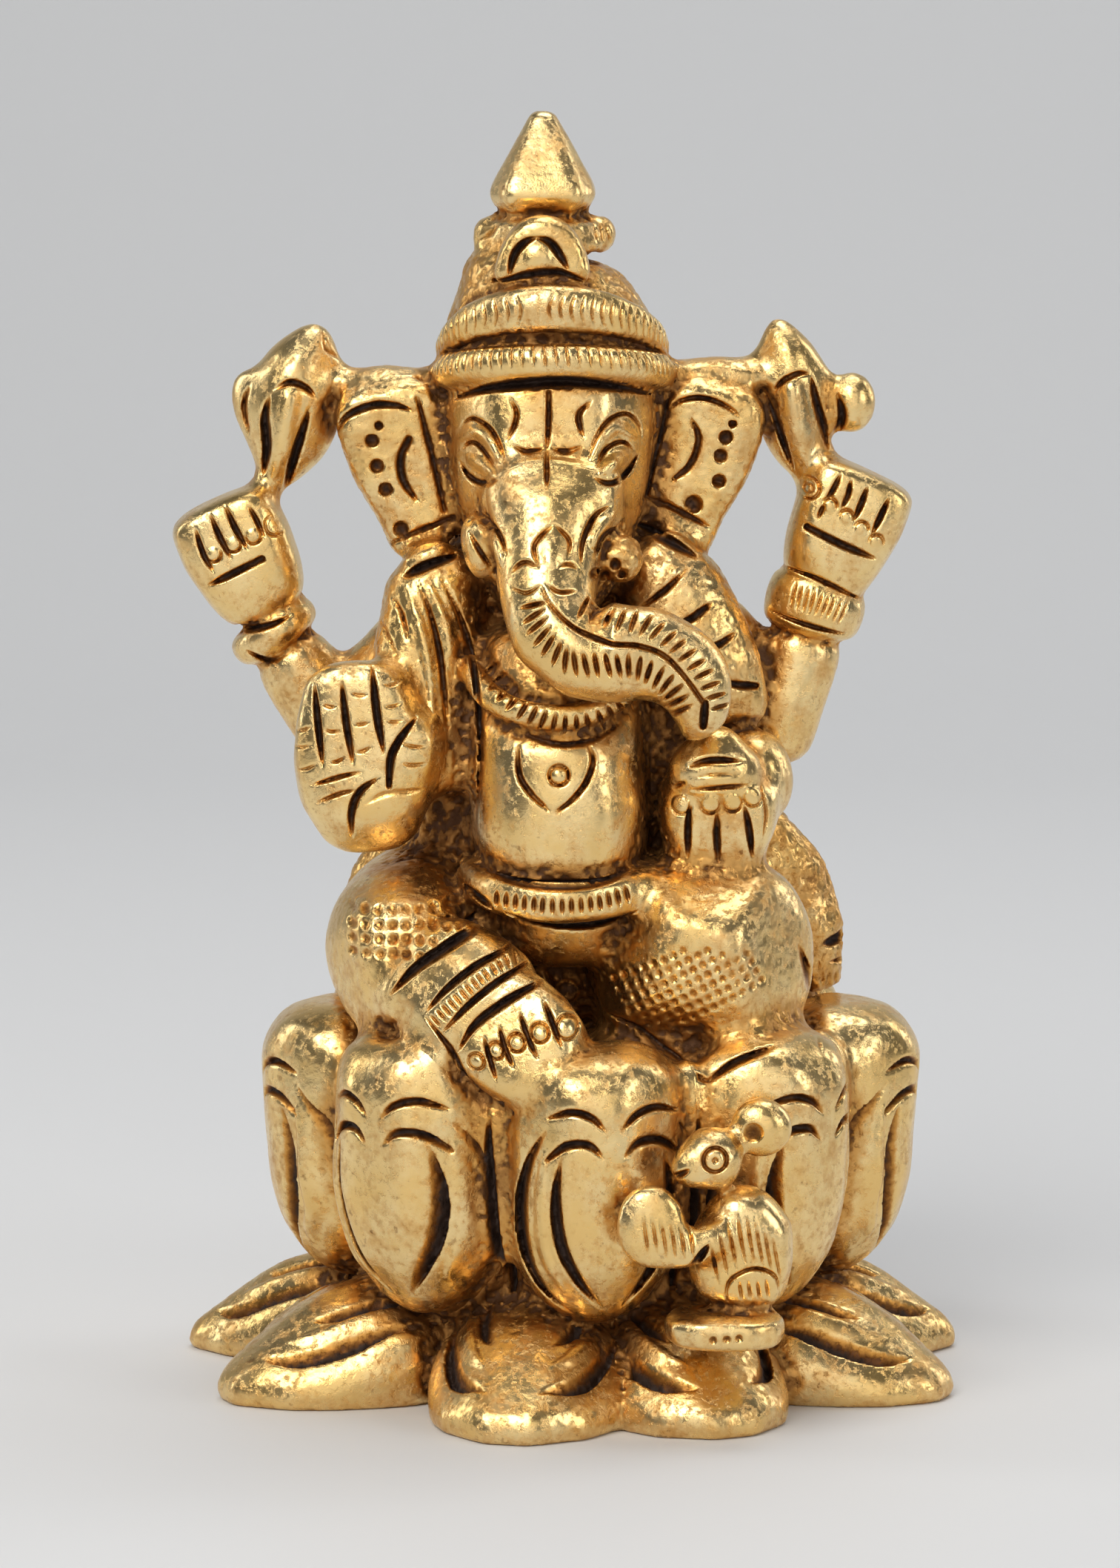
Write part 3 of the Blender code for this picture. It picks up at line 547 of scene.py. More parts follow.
def chase_raised_hands():
    axe = chase(Front(), (-22, 52), (-13, 64), "right_axe_head", "right_rear_fist")
    axe.ridge([(-17.5, 59.2), (-18.0, 57.0), (-18.5, 54.4)], 1.7, 0.28, (0.9, 0.4))
    axe.cut([(-18.7, 59.4), (-19.0, 57.9), (-18.9, 56.2), (-19.2, 54.3)], 0.7, 0.55)
    axe.cut([(-16.3, 58.6), (-16.7, 57.4), (-17.3, 55.5), (-18.0, 53.2)], 0.62, 0.55)
    axe.cut([(-18.5, 59.6), (-17.5, 60.1), (-16.6, 59.8), (-15.9, 59.1)], 0.5, 0.42)
    axe.cut([(-19.9, 60.0), (-20.3, 58.6), (-20.0, 56.8)], 0.4, 0.35)
    axe.cut([(-15.6, 63.3), (-15.4, 62.0), (-14.5, 61.3)], 0.3, 0.2)
    goad = chase(Front(), (9, 53), (18, 65), "left_goad_head", "left_goad_knob", "left_rear_fist")
    goad.ridge([(12.4, 59.6), (12.8, 57.6), (13.2, 55.3)], 1.7, 0.28, (0.9, 0.5))
    goad.cut([(10.6, 59.9), (11.4, 57.9), (12.1, 55.9), (12.6, 54.6)], 0.52, 0.5)
    goad.cut([(13.5, 60.5), (13.8, 59.1), (14.3, 57.3), (14.5, 56.0)], 0.56, 0.5)
    goad.cut([(11.2, 59.4), (11.9, 60.2), (12.8, 60.6), (13.6, 60.5)], 0.46, 0.4)
    goad.cut([(15.1, 59.4), (15.4, 57.9), (14.8, 56.0)], 0.6, 0.5)

    right = chase(Front(), (-25, 42), (-15, 55), "right_rear_fist", "right_bangle", "right_rear_arm")
    right.cut([(-23.2, 51.5), (-22.7, 49.9), (-22.0, 48.7)], 0.42, 0.42)
    right.cut([(-22.3, 52.3), (-21.7, 50.9), (-21.0, 49.6)], 0.44, 0.42)
    right.cut([(-21.4, 52.8), (-20.8, 51.5), (-20.0, 50.1)], 0.46, 0.42)
    right.cut([(-20.0, 52.8), (-19.5, 51.9), (-19.0, 50.8)], 0.4, 0.38)
    for centre in ((-22.1, 49.9), (-20.9, 50.5), (-19.7, 51.0)):
        right.bead(centre, 0.4, 0.12)
        right.ring(centre, 0.48, 0.24, 0.24, 150, 420)
    right.ring((-18.4, 51.6), 0.6, 0.26, 0.25, 110, 330)
    right.cut([(-22.6, 47.9), (-20.8, 48.8), (-19.2, 49.6)], 0.55, 0.45, (0, 0.95))
    right.cut([(-21.8, 45.8), (-20.3, 45.3), (-18.7, 45.6), (-17.4, 46.2)], 0.5, 0.45)
    right.cut([(-20.4, 44.1), (-18.8, 43.4), (-17.8, 43.8)], 0.4, 0.35)

    left = chase(Front(), (10, 43), (20, 56), "left_rear_fist", "left_bangle", "left_rear_arm")
    left.ring((13.4, 53.8), 0.62, 0.26, 0.26, -150, 120)
    left.ring((13.4, 53.8), 0.25, 0.2, 0.16)
    for centre in ((14.6, 52.8), (15.6, 52.1), (16.5, 51.4), (17.4, 50.6)):
        left.bead(centre, 0.38, 0.12)
        left.ring(centre, 0.46, 0.24, 0.24, -50, 190)
    left.cut([(15.3, 54.7), (14.8, 53.7), (14.3, 53.0)], 0.42, 0.4)
    left.cut([(15.9, 54.4), (15.7, 53.4), (15.3, 52.6)], 0.4, 0.4)
    left.cut([(16.9, 54.0), (16.5, 52.9), (16.0, 51.8)], 0.46, 0.42)
    left.cut([(18.2, 53.3), (17.6, 52.0), (17.1, 51.0)], 0.48, 0.42)
    left.cut([(14.3, 52.9), (13.9, 52.0)], 0.36, 0.35)
    left.cut([(13.3, 51.5), (15.3, 50.5), (17.6, 49.5)], 0.55, 0.45, (0.95, 0))
    left.cut([(11.7, 49.1), (13.9, 48.4), (16.8, 46.9)], 0.36, 0.36)
    left.cut([(11.0, 46.4), (13.4, 45.6), (15.9, 44.9)], 0.4, 0.38)
    left.ribs([(12.3, 47.4), (13.8, 47.0), (15.7, 46.2)], 9, 1.7, 0.24, 0.22)


def chase_palm():
    palm = chase(Front(), (-18, 32), (-8, 45), "right_front_hand")
    palm.cut([(-15.9, 42.9), (-15.7, 40.7), (-15.4, 37.9)], 0.5, 0.5)
    palm.cut([(-14.3, 43.1), (-14.0, 40.5), (-13.6, 38.1)], 0.5, 0.5)
    palm.cut([(-12.5, 43.9), (-12.2, 41.1), (-11.8, 38.8)], 0.55, 0.55)
    palm.cut([(-9.9, 40.9), (-10.9, 39.6), (-11.4, 38.5), (-11.5, 36.9)], 0.55, 0.55, (0.3, 0.7))
    marks = (
        ((-17.2, 40.0), (-16.0, 40.4)), ((-17.2, 39.1), (-16.0, 39.3)), ((-17.0, 37.7), (-15.7, 38.2)),
        ((-15.5, 41.7), (-14.5, 41.6)), ((-15.3, 40.2), (-14.3, 40.2)), ((-15.0, 38.3), (-14.1, 38.6)),
        ((-13.8, 42.4), (-12.7, 42.3)), ((-13.7, 40.6), (-12.6, 40.7)), ((-13.5, 38.9), (-12.5, 39.3)),
        ((-11.9, 42.9), (-10.7, 43.0)), ((-11.8, 41.6), (-10.7, 41.8)), ((-11.7, 40.8), (-10.6, 40.8)),
        ((-10.8, 39.5), (-9.3, 39.2)), ((-10.8, 38.3), (-9.3, 38.2)),
    )
    for start, end in marks:
        middle = ((start[0] + end[0]) / 2, (start[1] + end[1]) / 2 - 0.12)
        palm.cut([start, middle, end], 0.28, 0.2)
    palm.cut([(-16.3, 36.8), (-14.5, 37.4), (-13.0, 37.8)], 0.36, 0.3)
    palm.cut([(-15.9, 35.8), (-14.5, 36.4), (-13.4, 36.7)], 0.34, 0.28)
    palm.cut([(-12.0, 37.5), (-13.2, 36.6), (-13.7, 35.4), (-13.7, 33.7)], 0.55, 0.45)
    palm.cut([(-13.0, 35.8), (-11.6, 36.5), (-9.4, 36.6)], 0.5, 0.16)


def chase_sweet_hand():
    hand = chase(Front(), (4, 31), (13, 41), "left_front_hand", "modak")
    hand.cut([(6.0, 38.2), (7.4, 38.6), (9.4, 38.5)], 0.5, 0.42)
    hand.cut([(6.1, 37.6), (7.6, 37.8), (9.3, 37.8)], 0.26, 0.2)
    hand.cut([(6.2, 36.8), (8.0, 37.0), (9.8, 37.1)], 0.4, 0.36)
    hand.cut([(5.2, 36.8), (6.0, 37.3)], 0.34, 0.3)
    for centre in ((5.7, 35.9), (7.4, 36.0), (8.7, 36.1), (9.9, 36.4)):
        hand.bead(centre, 0.55, 0.28)
        hand.ring(centre, 0.6, 0.22, 0.2, 180, 380)
    hand.cut([(6.2, 36.1), (6.1, 34.5), (6.1, 32.6)], 0.5, 0.45)
    hand.cut([(7.8, 35.5), (7.8, 34.0), (7.9, 32.3)], 0.5, 0.45)
    hand.cut([(9.4, 35.9), (9.7, 34.4), (9.9, 32.6)], 0.5, 0.45)
    hand.cut([(10.3, 37.2), (10.7, 35.4), (10.5, 33.4)], 0.34, 0.2)


def chase_chest():
    chest = chase(
        Front(), (-13, 33), (12, 50), "belly", "torso", "shawl_right_fall", "shawl_left_fall", "necklace"
    )
    # shawl at the viewer's left
    chest.cut([(-11.5, 47.8), (-10.8, 46.8), (-10.3, 45.0)], 0.36, 0.32)
    chest.cut([(-12.2, 46.4), (-11.6, 45.4), (-10.9, 44.1)], 0.3, 0.22)
    chest.cut([(-9.9, 48.8), (-9.1, 46.8), (-8.5, 44.2), (-8.2, 41.5), (-8.0, 39.6)], 0.46, 0.42)
    chest.cut([(-8.4, 48.9), (-7.3, 46.4), (-6.5, 43.7), (-6.2, 40.9), (-6.1, 38.4), (-6.4, 34.6)], 0.5, 0.5)
    chest.ridge([(-10.6, 48.4), (-9.8, 46.4), (-9.2, 43.8), (-8.9, 41.0)], 0.9, 0.22)
    chest.ridge([(-9.1, 48.4), (-8.1, 46.0), (-7.5, 43.0), (-7.3, 40.5)], 0.9, 0.22)
    # shawl at the viewer's right
    chest.cut([(3.2, 47.0), (4.7, 48.1), (6.1, 49.4)], 0.46, 0.42)
    chest.cut([(5.6, 46.1), (6.5, 46.6), (7.6, 47.4)], 0.62, 0.48, (0.7, 0.2))
    chest.cut([(6.8, 44.8), (7.9, 44.9), (9.0, 45.6)], 0.56, 0.45, (0.4, 0.2))
    chest.cut([(8.5, 42.6), (10.2, 42.3)], 0.62, 0.45, (0.8, 0.9))
    # necklace
    arc = [(-5.7, 43.9), (-4.4, 42.3), (-3.1, 41.4), (-1.6, 40.9), (0.2, 40.9), (1.8, 41.4), (3.0, 42.2)]
    chest.ribs(arc, 15, 1.5, 0.4, 0.32)
    chest.cut([(-4.6, 40.7), (-2.9, 40.0), (-1.6, 39.7), (-0.5, 39.7), (0.9, 40.0), (2.5, 40.9)], 0.42, 0.42)
    for i in range(12):
        t = i / 11
        chest.dot((-4.3 + 4.2 * t, 40.9 - 2.4 * t + 1.7 * t * t), 0.14, 0.16)
    # pendant
    chest.ring((-1.5, 37.9), 0.58, 0.28, 0.28)
    chest.bead((-1.5, 37.9), 0.36, 0.14)
    chest.cut([(-3.9, 39.6), (-3.8, 37.9), (-3.1, 36.8), (-2.1, 35.9)], 0.46, 0.38, (0.3, 0.5))
    chest.cut([(0.2, 39.8), (0.5, 38.7), (0.1, 37.5), (-0.7, 36.5), (-1.6, 35.8)], 0.46, 0.38, (0.3, 0.5))


def chase_waist():
    waist = chase(
        Front(), (-9, 27), (5, 34), "waist_belt", "belly", "right_thigh", "left_folded_leg", "torso",
        "right_shin_anklets",
    )
    waist.cut([(-6.7, 32.4), (-5.3, 31.9), (-3.5, 31.6), (-1.2, 31.5), (1.3, 31.7), (3.6, 32.4)], 0.55, 0.6)
    waist.ribs([(-5.4, 30.6), (-3.4, 30.5), (-1.8, 30.4), (0.6, 30.5), (2.8, 30.9)], 15, 1.1, 0.36, 0.3)
    waist.cut([(-4.6, 29.8), (-2.9, 29.2), (-0.6, 28.9), (1.3, 29.0), (3.2, 29.8)], 0.55, 0.6)
    waist.cut([(-7.2, 31.0), (-6.1, 30.4), (-5.4, 29.9)], 0.6, 0.5)


def chase_legs():
    leg = chase(Front(), (-16, 18), (1, 33), "right_shin_anklets", "right_foot", "right_thigh", "torso")
    leg.cut([(-11.4, 25.1), (-9.9, 26.7), (-8.1, 28.0), (-6.4, 29.0), (-5.0, 29.7)], 0.75, 0.65)
    leg.cut([(-9.4, 24.2), (-8.0, 25.8), (-6.4, 27.1), (-4.7, 27.9), (-3.5, 28.3)], 0.5, 0.5)
    leg.cut([(-8.4, 23.2), (-6.7, 25.0), (-5.2, 26.2), (-3.9, 26.9), (-2.8, 27.2)], 0.52, 0.5)
    leg.cut([(-7.4, 22.2), (-6.4, 23.8), (-4.6, 25.2), (-2.9, 26.1), (-1.8, 26.3)], 0.6, 0.55)
    leg.ribs([(-8.8, 23.8), (-7.3, 25.3), (-5.8, 26.6), (-4.5, 27.4), (-3.4, 27.8)], 15, 1.0, 0.26, 0.24)
    leg.cut([(-9.4, 24.2), (-8.0, 22.6), (-7.1, 21.0), (-5.9, 18.8)], 0.45, 0.4)
    toes = (
        ((-6.3, 21.8), 0.42), ((-5.15, 22.5), 0.42), ((-3.95, 23.0), 0.45), ((-2.6, 23.6), 0.48),
        ((-1.0, 23.9), 0.62),
    )
    for centre, radius in toes:
        leg.bead(centre, radius, 0.22)
        leg.ring(centre, radius + 0.05, 0.24, 0.22)
    leg.cut([(-5.9, 23.3), (-5.5, 22.0), (-5.1, 20.7)], 0.38, 0.42)
    leg.cut([(-5.0, 23.9), (-4.6, 22.6), (-4.1, 21.5)], 0.38, 0.4)
    leg.cut([(-3.8, 24.7), (-3.3, 23.3), (-2.7, 22.1)], 0.4, 0.42)
    leg.cut([(-2.4, 25.4), (-1.9, 24.2), (-1.3, 22.7)], 0.42, 0.42)
    leg.checks((-13.6, 27.3), 9, 4, 0.8, 0.5, 0.16, turn=2, inside=lambda x, z: z > 27.9 + 0.72 * (x + 8.6))
    knee = chase(
        Front(), (-1, 19), (17, 34), "left_folded_leg", "pedestal_core", "upper_petal_2", "back_bolster"
    )
    knee.checks(
        (3.6, 22.2), 13, 7, 0.64, 0.4, 0.15, turn=28,
        inside=lambda x, z: x < 13 and z > 22.6 and z < 27.9 - 0.11 * abs(x - 7),
    )
    knee.cut([(0.8, 23.5), (3.0, 22.8), (5.0, 21.4), (7.1, 20.2)], 0.5, 0.45, (0.1, 0.6))
    knee.cut([(7.3, 20.2), (8.9, 21.3), (11.1, 22.1)], 0.5, 0.45, (0.5, 0.2))
    knee.cut([(-0.7, 25.2), (-0.4, 23.7), (0.2, 21.3)], 0.5, 0.5, (0.9, 0.6))
    knee.cut([(12.7, 27.4), (13.5, 24.5), (13.9, 21.4)], 0.6, 0.5)
    bolster = chase(Front(), (11, 21), (18, 36), "back_bolster")
    bolster.cut([(14.6, 25.0), (15.6, 25.3), (17.0, 25.9)], 0.8, 0.8, (0.1, 1.0))
    bolster.cut([(15.0, 23.9), (17.0, 23.9)], 0.36, 0.4, (0.2, 1.0))
    for x in (14.6, 15.0, 15.4, 15.8):
        bolster.cut([(x, 23.6), (x + 0.1, 22.0)], 0.2, 0.16)


UPPER_PETALS = [f"upper_petal_{i}" for i in range(1, 9)]
LOWER_PETALS = [f"lower_petal_{i}" for i in range(1, 10)]

# Each upper petal: its azimuth, how far aside its pattern's middle lies, and the pattern's width.
PETALS = (
    (2, 1.0, 0.98), (45, 0.3, 1.0), (87, 0, 1.0), (132, 0, 1.0), (178, 0, 1.0), (-134, 0, 1.0),
    (-86, 0, 1.0), (-40, 0.6, 0.98),
)


def neighbours(ring):
    """Each item of a closed ring with the next."""
    return list(zip(ring, ring[1:] + ring[:1]))


def chase_upper_petals():
    """Two pairs of eyebrow cuts, and below them two cuts on each side that run down to the petal's foot."""
    for name, (azimuth, middle, wide) in zip(UPPER_PETALS, PETALS):
        petal = chase(Outside(azimuth), (-8, 5), (8, 24), name)
        for side in (-1, 1):

            def at(*points):
                return [(middle + side * wide * u, v) for u, v in points]

            petal.cut(at((0.4, 18.1), (1.3, 19.0), (2.5, 19.3), (3.9, 18.8)), 0.55, 0.45, (0.1, 0.3))
            petal.cut(at((0.6, 16.6), (1.5, 17.4), (2.8, 17.3), (4.0, 16.3)), 0.6, 0.5, (0.2, 0.4))
            inner = at((3.1, 16.6), (3.4, 14.1), (3.1, 11.4), (2.1, 9.2), (0.6, 7.2))
            outer = at((3.9, 18.3), (5.0, 15.9), (5.4, 13.3), (5.1, 10.4), (4.0, 8.2), (2.4, 6.8))
            petal.cut(inner, 0.85, 0.6, (0.2, 0.1))
            petal.cut(outer, 0.75, 0.55, (0.1, 0.2))
            petal.ridge(at((4.1, 16.8), (4.35, 14.0), (4.1, 10.8), (2.9, 8.3)), 0.9, 0.22)
    azimuths = [azimuth for azimuth, *_ in PETALS]
    for (one, first), (other, second) in neighbours(list(zip(UPPER_PETALS, azimuths))):
        between = first + ((second - first) % 360) / 2
        valley = chase(Outside(between), (-3, 5), (3, 24), "pedestal_core", one, other)
        valley.cut([(0.0, 18.6), (-0.1, 16.0), (0.0, 12.0), (0.1, 8.5), (0.0, 6.8)], 0.85, 0.9, (0.1, 0.5))


# Each lower petal: its azimuth, reach, half width and how blunt its tip is, as the CAD has them.
LEAVES = (
    (-12, 22.3, 6.2, 3.4), (24, 22.0, 6.0, 3.4), (65, 24.1, 6.3, 2.0), (101, 23.4, 5.2, 1.8),
    (141, 23.0, 5.4, 2.2), (180, 22.6, 5.4, 2.2), (-141, 23.0, 5.4, 2.2), (-100, 24.7, 5.2, 1.8),
    (-63, 24.2, 6.7, 2.0),
)
LEAF_ROOT = 9.5  # how far from the upright axis the lower petals start


def chase_lower_petals():
    """Two crescents on each side of a leaf, inside its edge, with a ridge left standing between them."""
    for name, (azimuth, *petal) in zip(LOWER_PETALS, LEAVES):
        leaf = chase(Above(azimuth), (-8, 8), (8, 26), name)
        for inset, width, depth, last in ((1.2, 0.9, 0.55, 0.97), (3.1, 0.95, 0.5, 0.88)):
            for side in (-1, 1):
                leaf.cut(leaf_edge(inset, side, last, *petal), width, depth, (0.1, 0.1))
        for side in (-1, 1):
            leaf.ridge(leaf_edge(2.15, side, 0.93, *petal), 1.1, 0.25, (0.1, 0.1))


def leaf_edge(inset, side, last, reach, half_width, blunt):
    """Points along one edge of a lower petal, a little inside it, from its root to near its tip."""
    far, wide = reach - inset * 1.25, half_width - inset
    parts = (last * part for part in (0.32, 0.55, 0.76, 0.9, 1.0))
    return [(side * wide * math.sqrt(1 - s**blunt), LEAF_ROOT + (far - LEAF_ROOT) * s) for s in parts]


def chase_mouse():
    mouse = chase(
        Front(), (1, 4), (14, 20), "mouse_head", "mouse_body", "mouse_ear", "mouse_sweet_and_arm",
        "mouse_slab",
    )
    mouse.ring((7.5, 16.8), 0.68, 0.32, 0.3)
    mouse.dot((7.5, 16.8), 0.2, 0.2)
    mouse.cut([(4.7, 15.3), (5.4, 15.8), (6.1, 16.3)], 0.5, 0.4, (0.6, 0.1))
    mouse.dot((9.75, 18.1), 0.6, 0.28)
    mouse.cut([(11.3, 8.4), (11.0, 9.8), (9.8, 10.3), (8.5, 9.7), (8.2, 8.7), (8.6, 7.9)], 0.32, 0.3)
    mouse.cut([(7.2, 12.0), (6.5, 11.0), (5.9, 10.0)], 0.6, 0.6, (0.1, 0.8))
    for i in range(8):
        x = 7.2 + 0.52 * i
        top = 12.4 + 1.3 * math.sin(math.pi * min(1.0, i / 7))
        mouse.cut([(x, top), (x + 0.3, top - 1.8), (x + 0.6, top - 3.3)], 0.26, 0.2)
    for i in range(4):
        x = 8.9 + 0.52 * i
        mouse.cut([(x, 9.7), (x + 0.2, 8.3)], 0.26, 0.2)
    for i in range(6):
        x = 3.3 + 0.52 * i
        mouse.cut([(x, 14.0 - 0.2 * i), (x + 0.2, 12.6), (x + 0.4, 11.2 - 0.05 * i)], 0.26, 0.2)
    for x in (7.4, 8.2, 8.9):
        mouse.dot((x, 6.4 + 0.08 * (x - 7)), 0.24, 0.25)


# ---------------------------------------------------------------- the casting as one field

def by_name(groups):
    """What each name has, from pairs of an amount and the names that have it."""
    return {name: amount for amount, names in groups for name in names}


# Forms that the buff hardly reached, and how much of the casting's grain they keep everywhere.
AS_CAST = by_name((
    (0.8, ("torso", "pedestal_core")),
    (0.5, ("crown_dome", "left_broken_tusk", "back_bolster")),
    (0.26, ("right_ear", "left_ear", "shawl_right_fall", "shawl_left_fall", "crown_collar")),
    (0.16, ("right_web", "left_web", "right_thigh", "left_folded_leg")),
    (0.12, ("right_rear_arm", "left_rear_arm", "modak", "crown_crest", *LOWER_PETALS)),
    (0.08, UPPER_PETALS),
))
LEAST_GRAIN = 0.03

# How far each form's facets are smoothed away, where it isn't the usual amount.
SOFT = by_name((
    (0.85, ("head", "right_thigh", "left_folded_leg", "torso", "belly")),
    (0.6, ("trunk", "right_axe_head", "left_goad_head", "right_rear_arm", "left_rear_arm", *UPPER_PETALS)),
    (0.36, LOWER_PETALS),
    (0.32, ("right_foot",)),
    (0.3, ("crown_crest", "mouse_slab")),
    (0.26, ("crown_collar",)),
    (0.24, ("crown_finial",)),
))
USUAL_SOFTNESS = 0.42

# Forms that run into each other with no sunk line between them, and how far each run reaches.
RUNS = {
    "head": {
        "trunk": 4.2, "right_tusk": 1.1, "left_broken_tusk": 1.1, "right_ear": 1.0, "left_ear": 1.0,
        "crown_lower_band": 0.7,
    },
    "trunk": {"left_broken_tusk": 0.8},
    "torso": {
        "right_rear_arm": 1.7, "left_rear_arm": 1.7, "right_thigh": 2.0, "left_folded_leg": 2.0,
        "belly": 1.6, "shawl_right_fall": 1.4, "shawl_left_fall": 1.4, "head": 1.6,
        "right_front_hand": 1.5, "left_front_hand": 1.8, "waist_belt": 1.0,
    },
    "right_bangle": {"right_rear_arm": 0.7, "right_rear_fist": 0.7},
    "left_bangle": {"left_rear_arm": 0.7, "left_rear_fist": 0.7},
    "right_rear_fist": {"right_axe_head": 1.8},
    "left_rear_fist": {"left_goad_head": 1.8},
    "left_goad_head": {"left_goad_knob": 1.1, "left_web": 1.4},
    "right_axe_head": {"right_web": 1.4},
    "right_ear": {"right_web": 0.9},
    "left_ear": {"left_web": 0.9},
    "right_web": {"crown_lower_band": 1.2},
    "left_web": {"crown_lower_band": 1.2},
    "right_thigh": {"right_shin_anklets": 1.2, "pedestal_core": 2.2, "upper_petal_8": 1.6},
    "right_shin_anklets": {"right_foot": 1.0, "upper_petal_8": 1.4, "pedestal_core": 2.0},
    "mouse_body": {
        "mouse_head": 0.9, "mouse_sweet_and_arm": 0.9, "mouse_slab": 0.8, "upper_petal_2": 1.3,
        "upper_petal_1": 0.9,
    },
    "mouse_head": {"mouse_ear": 0.8, "upper_petal_2": 1.0},
    "left_front_hand": {"modak": 0.9, "left_folded_leg": 1.3},
    "crown_crest": {"crown_collar": 0.9},
    "crown_dome": {"crown_upper_band": 1.0, "crown_collar": 0.9, "crown_crest": 0.8},
    "crown_collar": {"crown_finial": 1.0},
    "crown_lower_band": {"crown_upper_band": 0.9},
    "shawl_right_fall": {
        "right_front_hand": 1.4, "belly": 1.2, "right_rear_arm": 1.2, "right_ear": 0.9, "right_tusk": 0.9,
    },
    "shawl_left_fall": {"left_rear_arm": 1.2, "left_ear": 0.9, "left_broken_tusk": 0.9},
    "right_front_hand": {"right_thigh": 1.5},
    "belly": {"right_thigh": 1.4, "left_folded_leg": 1.4},
    "waist_belt": {"left_folded_leg": 1.2},
    "back_bolster": {"left_folded_leg": 1.2, "pedestal_core": 1.8, "right_thigh": 1.2},
    "left_folded_leg": {"pedestal_core": 2.2, "upper_petal_1": 1.8, "upper_petal_2": 2.0},
    "right_foot": {"upper_petal_1": 1.1, "pedestal_core": 1.8},
    "mouse_ear": {"upper_petal_2": 0.9},
    "mouse_sweet_and_arm": {"upper_petal_1": 0.8},
    "mouse_slab": {"lower_petal_2": 1.0},
    "pedestal_core": {**dict.fromkeys(UPPER_PETALS, 4.0), **dict.fromkeys(LOWER_PETALS, 1.6)},
}
FLOWS = [(one, other, reach) for one, others in RUNS.items() for other, reach in others.items()]
FLOWS += [(one, other, 5.2) for one, other in neighbours(UPPER_PETALS)]
FLOWS += [(one, other, 0.8) for one, other in neighbours(LOWER_PETALS)]
FLOW_FADE = 1.2  # a flow thins out over this distance, where it nears the end of a form's field

# Where the file has flattened a form: the way each flat faces, and how far below the form's summit it lies.
FLATS = {
    "left_folded_leg": (
        ((-0.12, -1.0, -0.05), 1.0), ((0.8, -0.6, 0.1), 1.5), ((-0.2, -0.75, -0.65), 1.1),
        ((0.1, -0.6, 0.8), 1.2), ((-0.75, -0.6, 0.2), 1.3),
    ),
    "right_thigh": (((-0.3, -0.9, 0.35), 1.0), ((-0.85, -0.5, -0.1), 1.1), ((0.0, -0.8, -0.6), 1.0)),
    "belly": (((0.0, -1.0, 0.0), 0.5),),
    "right_front_hand": (((-0.15, -1.0, 0.1), 0.5), ((0.0, -0.7, -0.7), 0.5)),
    "left_front_hand": (((0.0, -1.0, -0.1), 0.6),),
    "right_rear_fist": (((-0.1, -1.0, 0.1), 0.4), ((-0.4, 0.0, 0.9), 0.3)),
    "left_rear_fist": (((0.1, -1.0, 0.1), 0.4), ((0.4, 0.0, 0.9), 0.3)),
    "right_foot": (((-0.2, -0.9, 0.4), 0.4),),
    "head": (((0.0, -1.0, 0.15), 1.2), ((-0.8, -0.6, 0.0), 0.7), ((0.8, -0.6, 0.0), 0.7)),
    "mouse_body": (((0.0, -1.0, 0.0), 0.5),),
    "mouse_sweet_and_arm": (((0.0, -1.0, 0.1), 0.5),),
    "right_axe_head": (((-0.7, -0.7, 0.0), 0.4), ((0.6, -0.8, 0.0), 0.4)),
    "left_goad_head": (((-0.7, -0.7, 0.0), 0.4), ((0.6, -0.8, 0.0), 0.4)),
}
# The same for the petals: how far to the side each flat faces in degrees, how far up, and how deep it lies.
UPPER_FLATS = ((0, 0.0, 0.5), (0, 0.7, 0.5), (-42, 0.1, 0.5), (42, 0.1, 0.5))
LOWER_FLATS = ((0, 1.2, 1.3), (-50, 0.9, 1.1), (50, 0.9, 1.1))
FLAT_EDGE = 0.8  # how far the rounding of a flat's edge reaches


def turned_flats(azimuth, flats):
    """A petal's flats, turned to where the petal stands round the upright axis."""
    for aside, up, depth in flats:
        a = math.radians(azimuth + aside)
        yield (math.sin(a), -math.cos(a), up), depth


for names, places, flats in ((UPPER_PETALS, PETALS, UPPER_FLATS), (LOWER_PETALS, LEAVES, LOWER_FLATS)):
    FLATS.update({name: tuple(turned_flats(azimuth, flats)) for name, (azimuth, *_) in zip(names, places)})

# Where a form is fuller than its CAD solid: between which places in x, and how far up it is thickened, or
# down where that is negative.
SPREADS = {"trunk": ((1.6, 12.0, 1.2), (5.8, 12.0, -0.96))}
SPREAD_EDGE = 0.6


def run_together(a, b, reach, share=1.0):
    """The smaller of two fields, filled in where both come within reach of each other."""
    near = np.maximum(reach - np.abs(a - b), 0) / reach
    return np.minimum(a, b) - near * near * reach / 4 * share


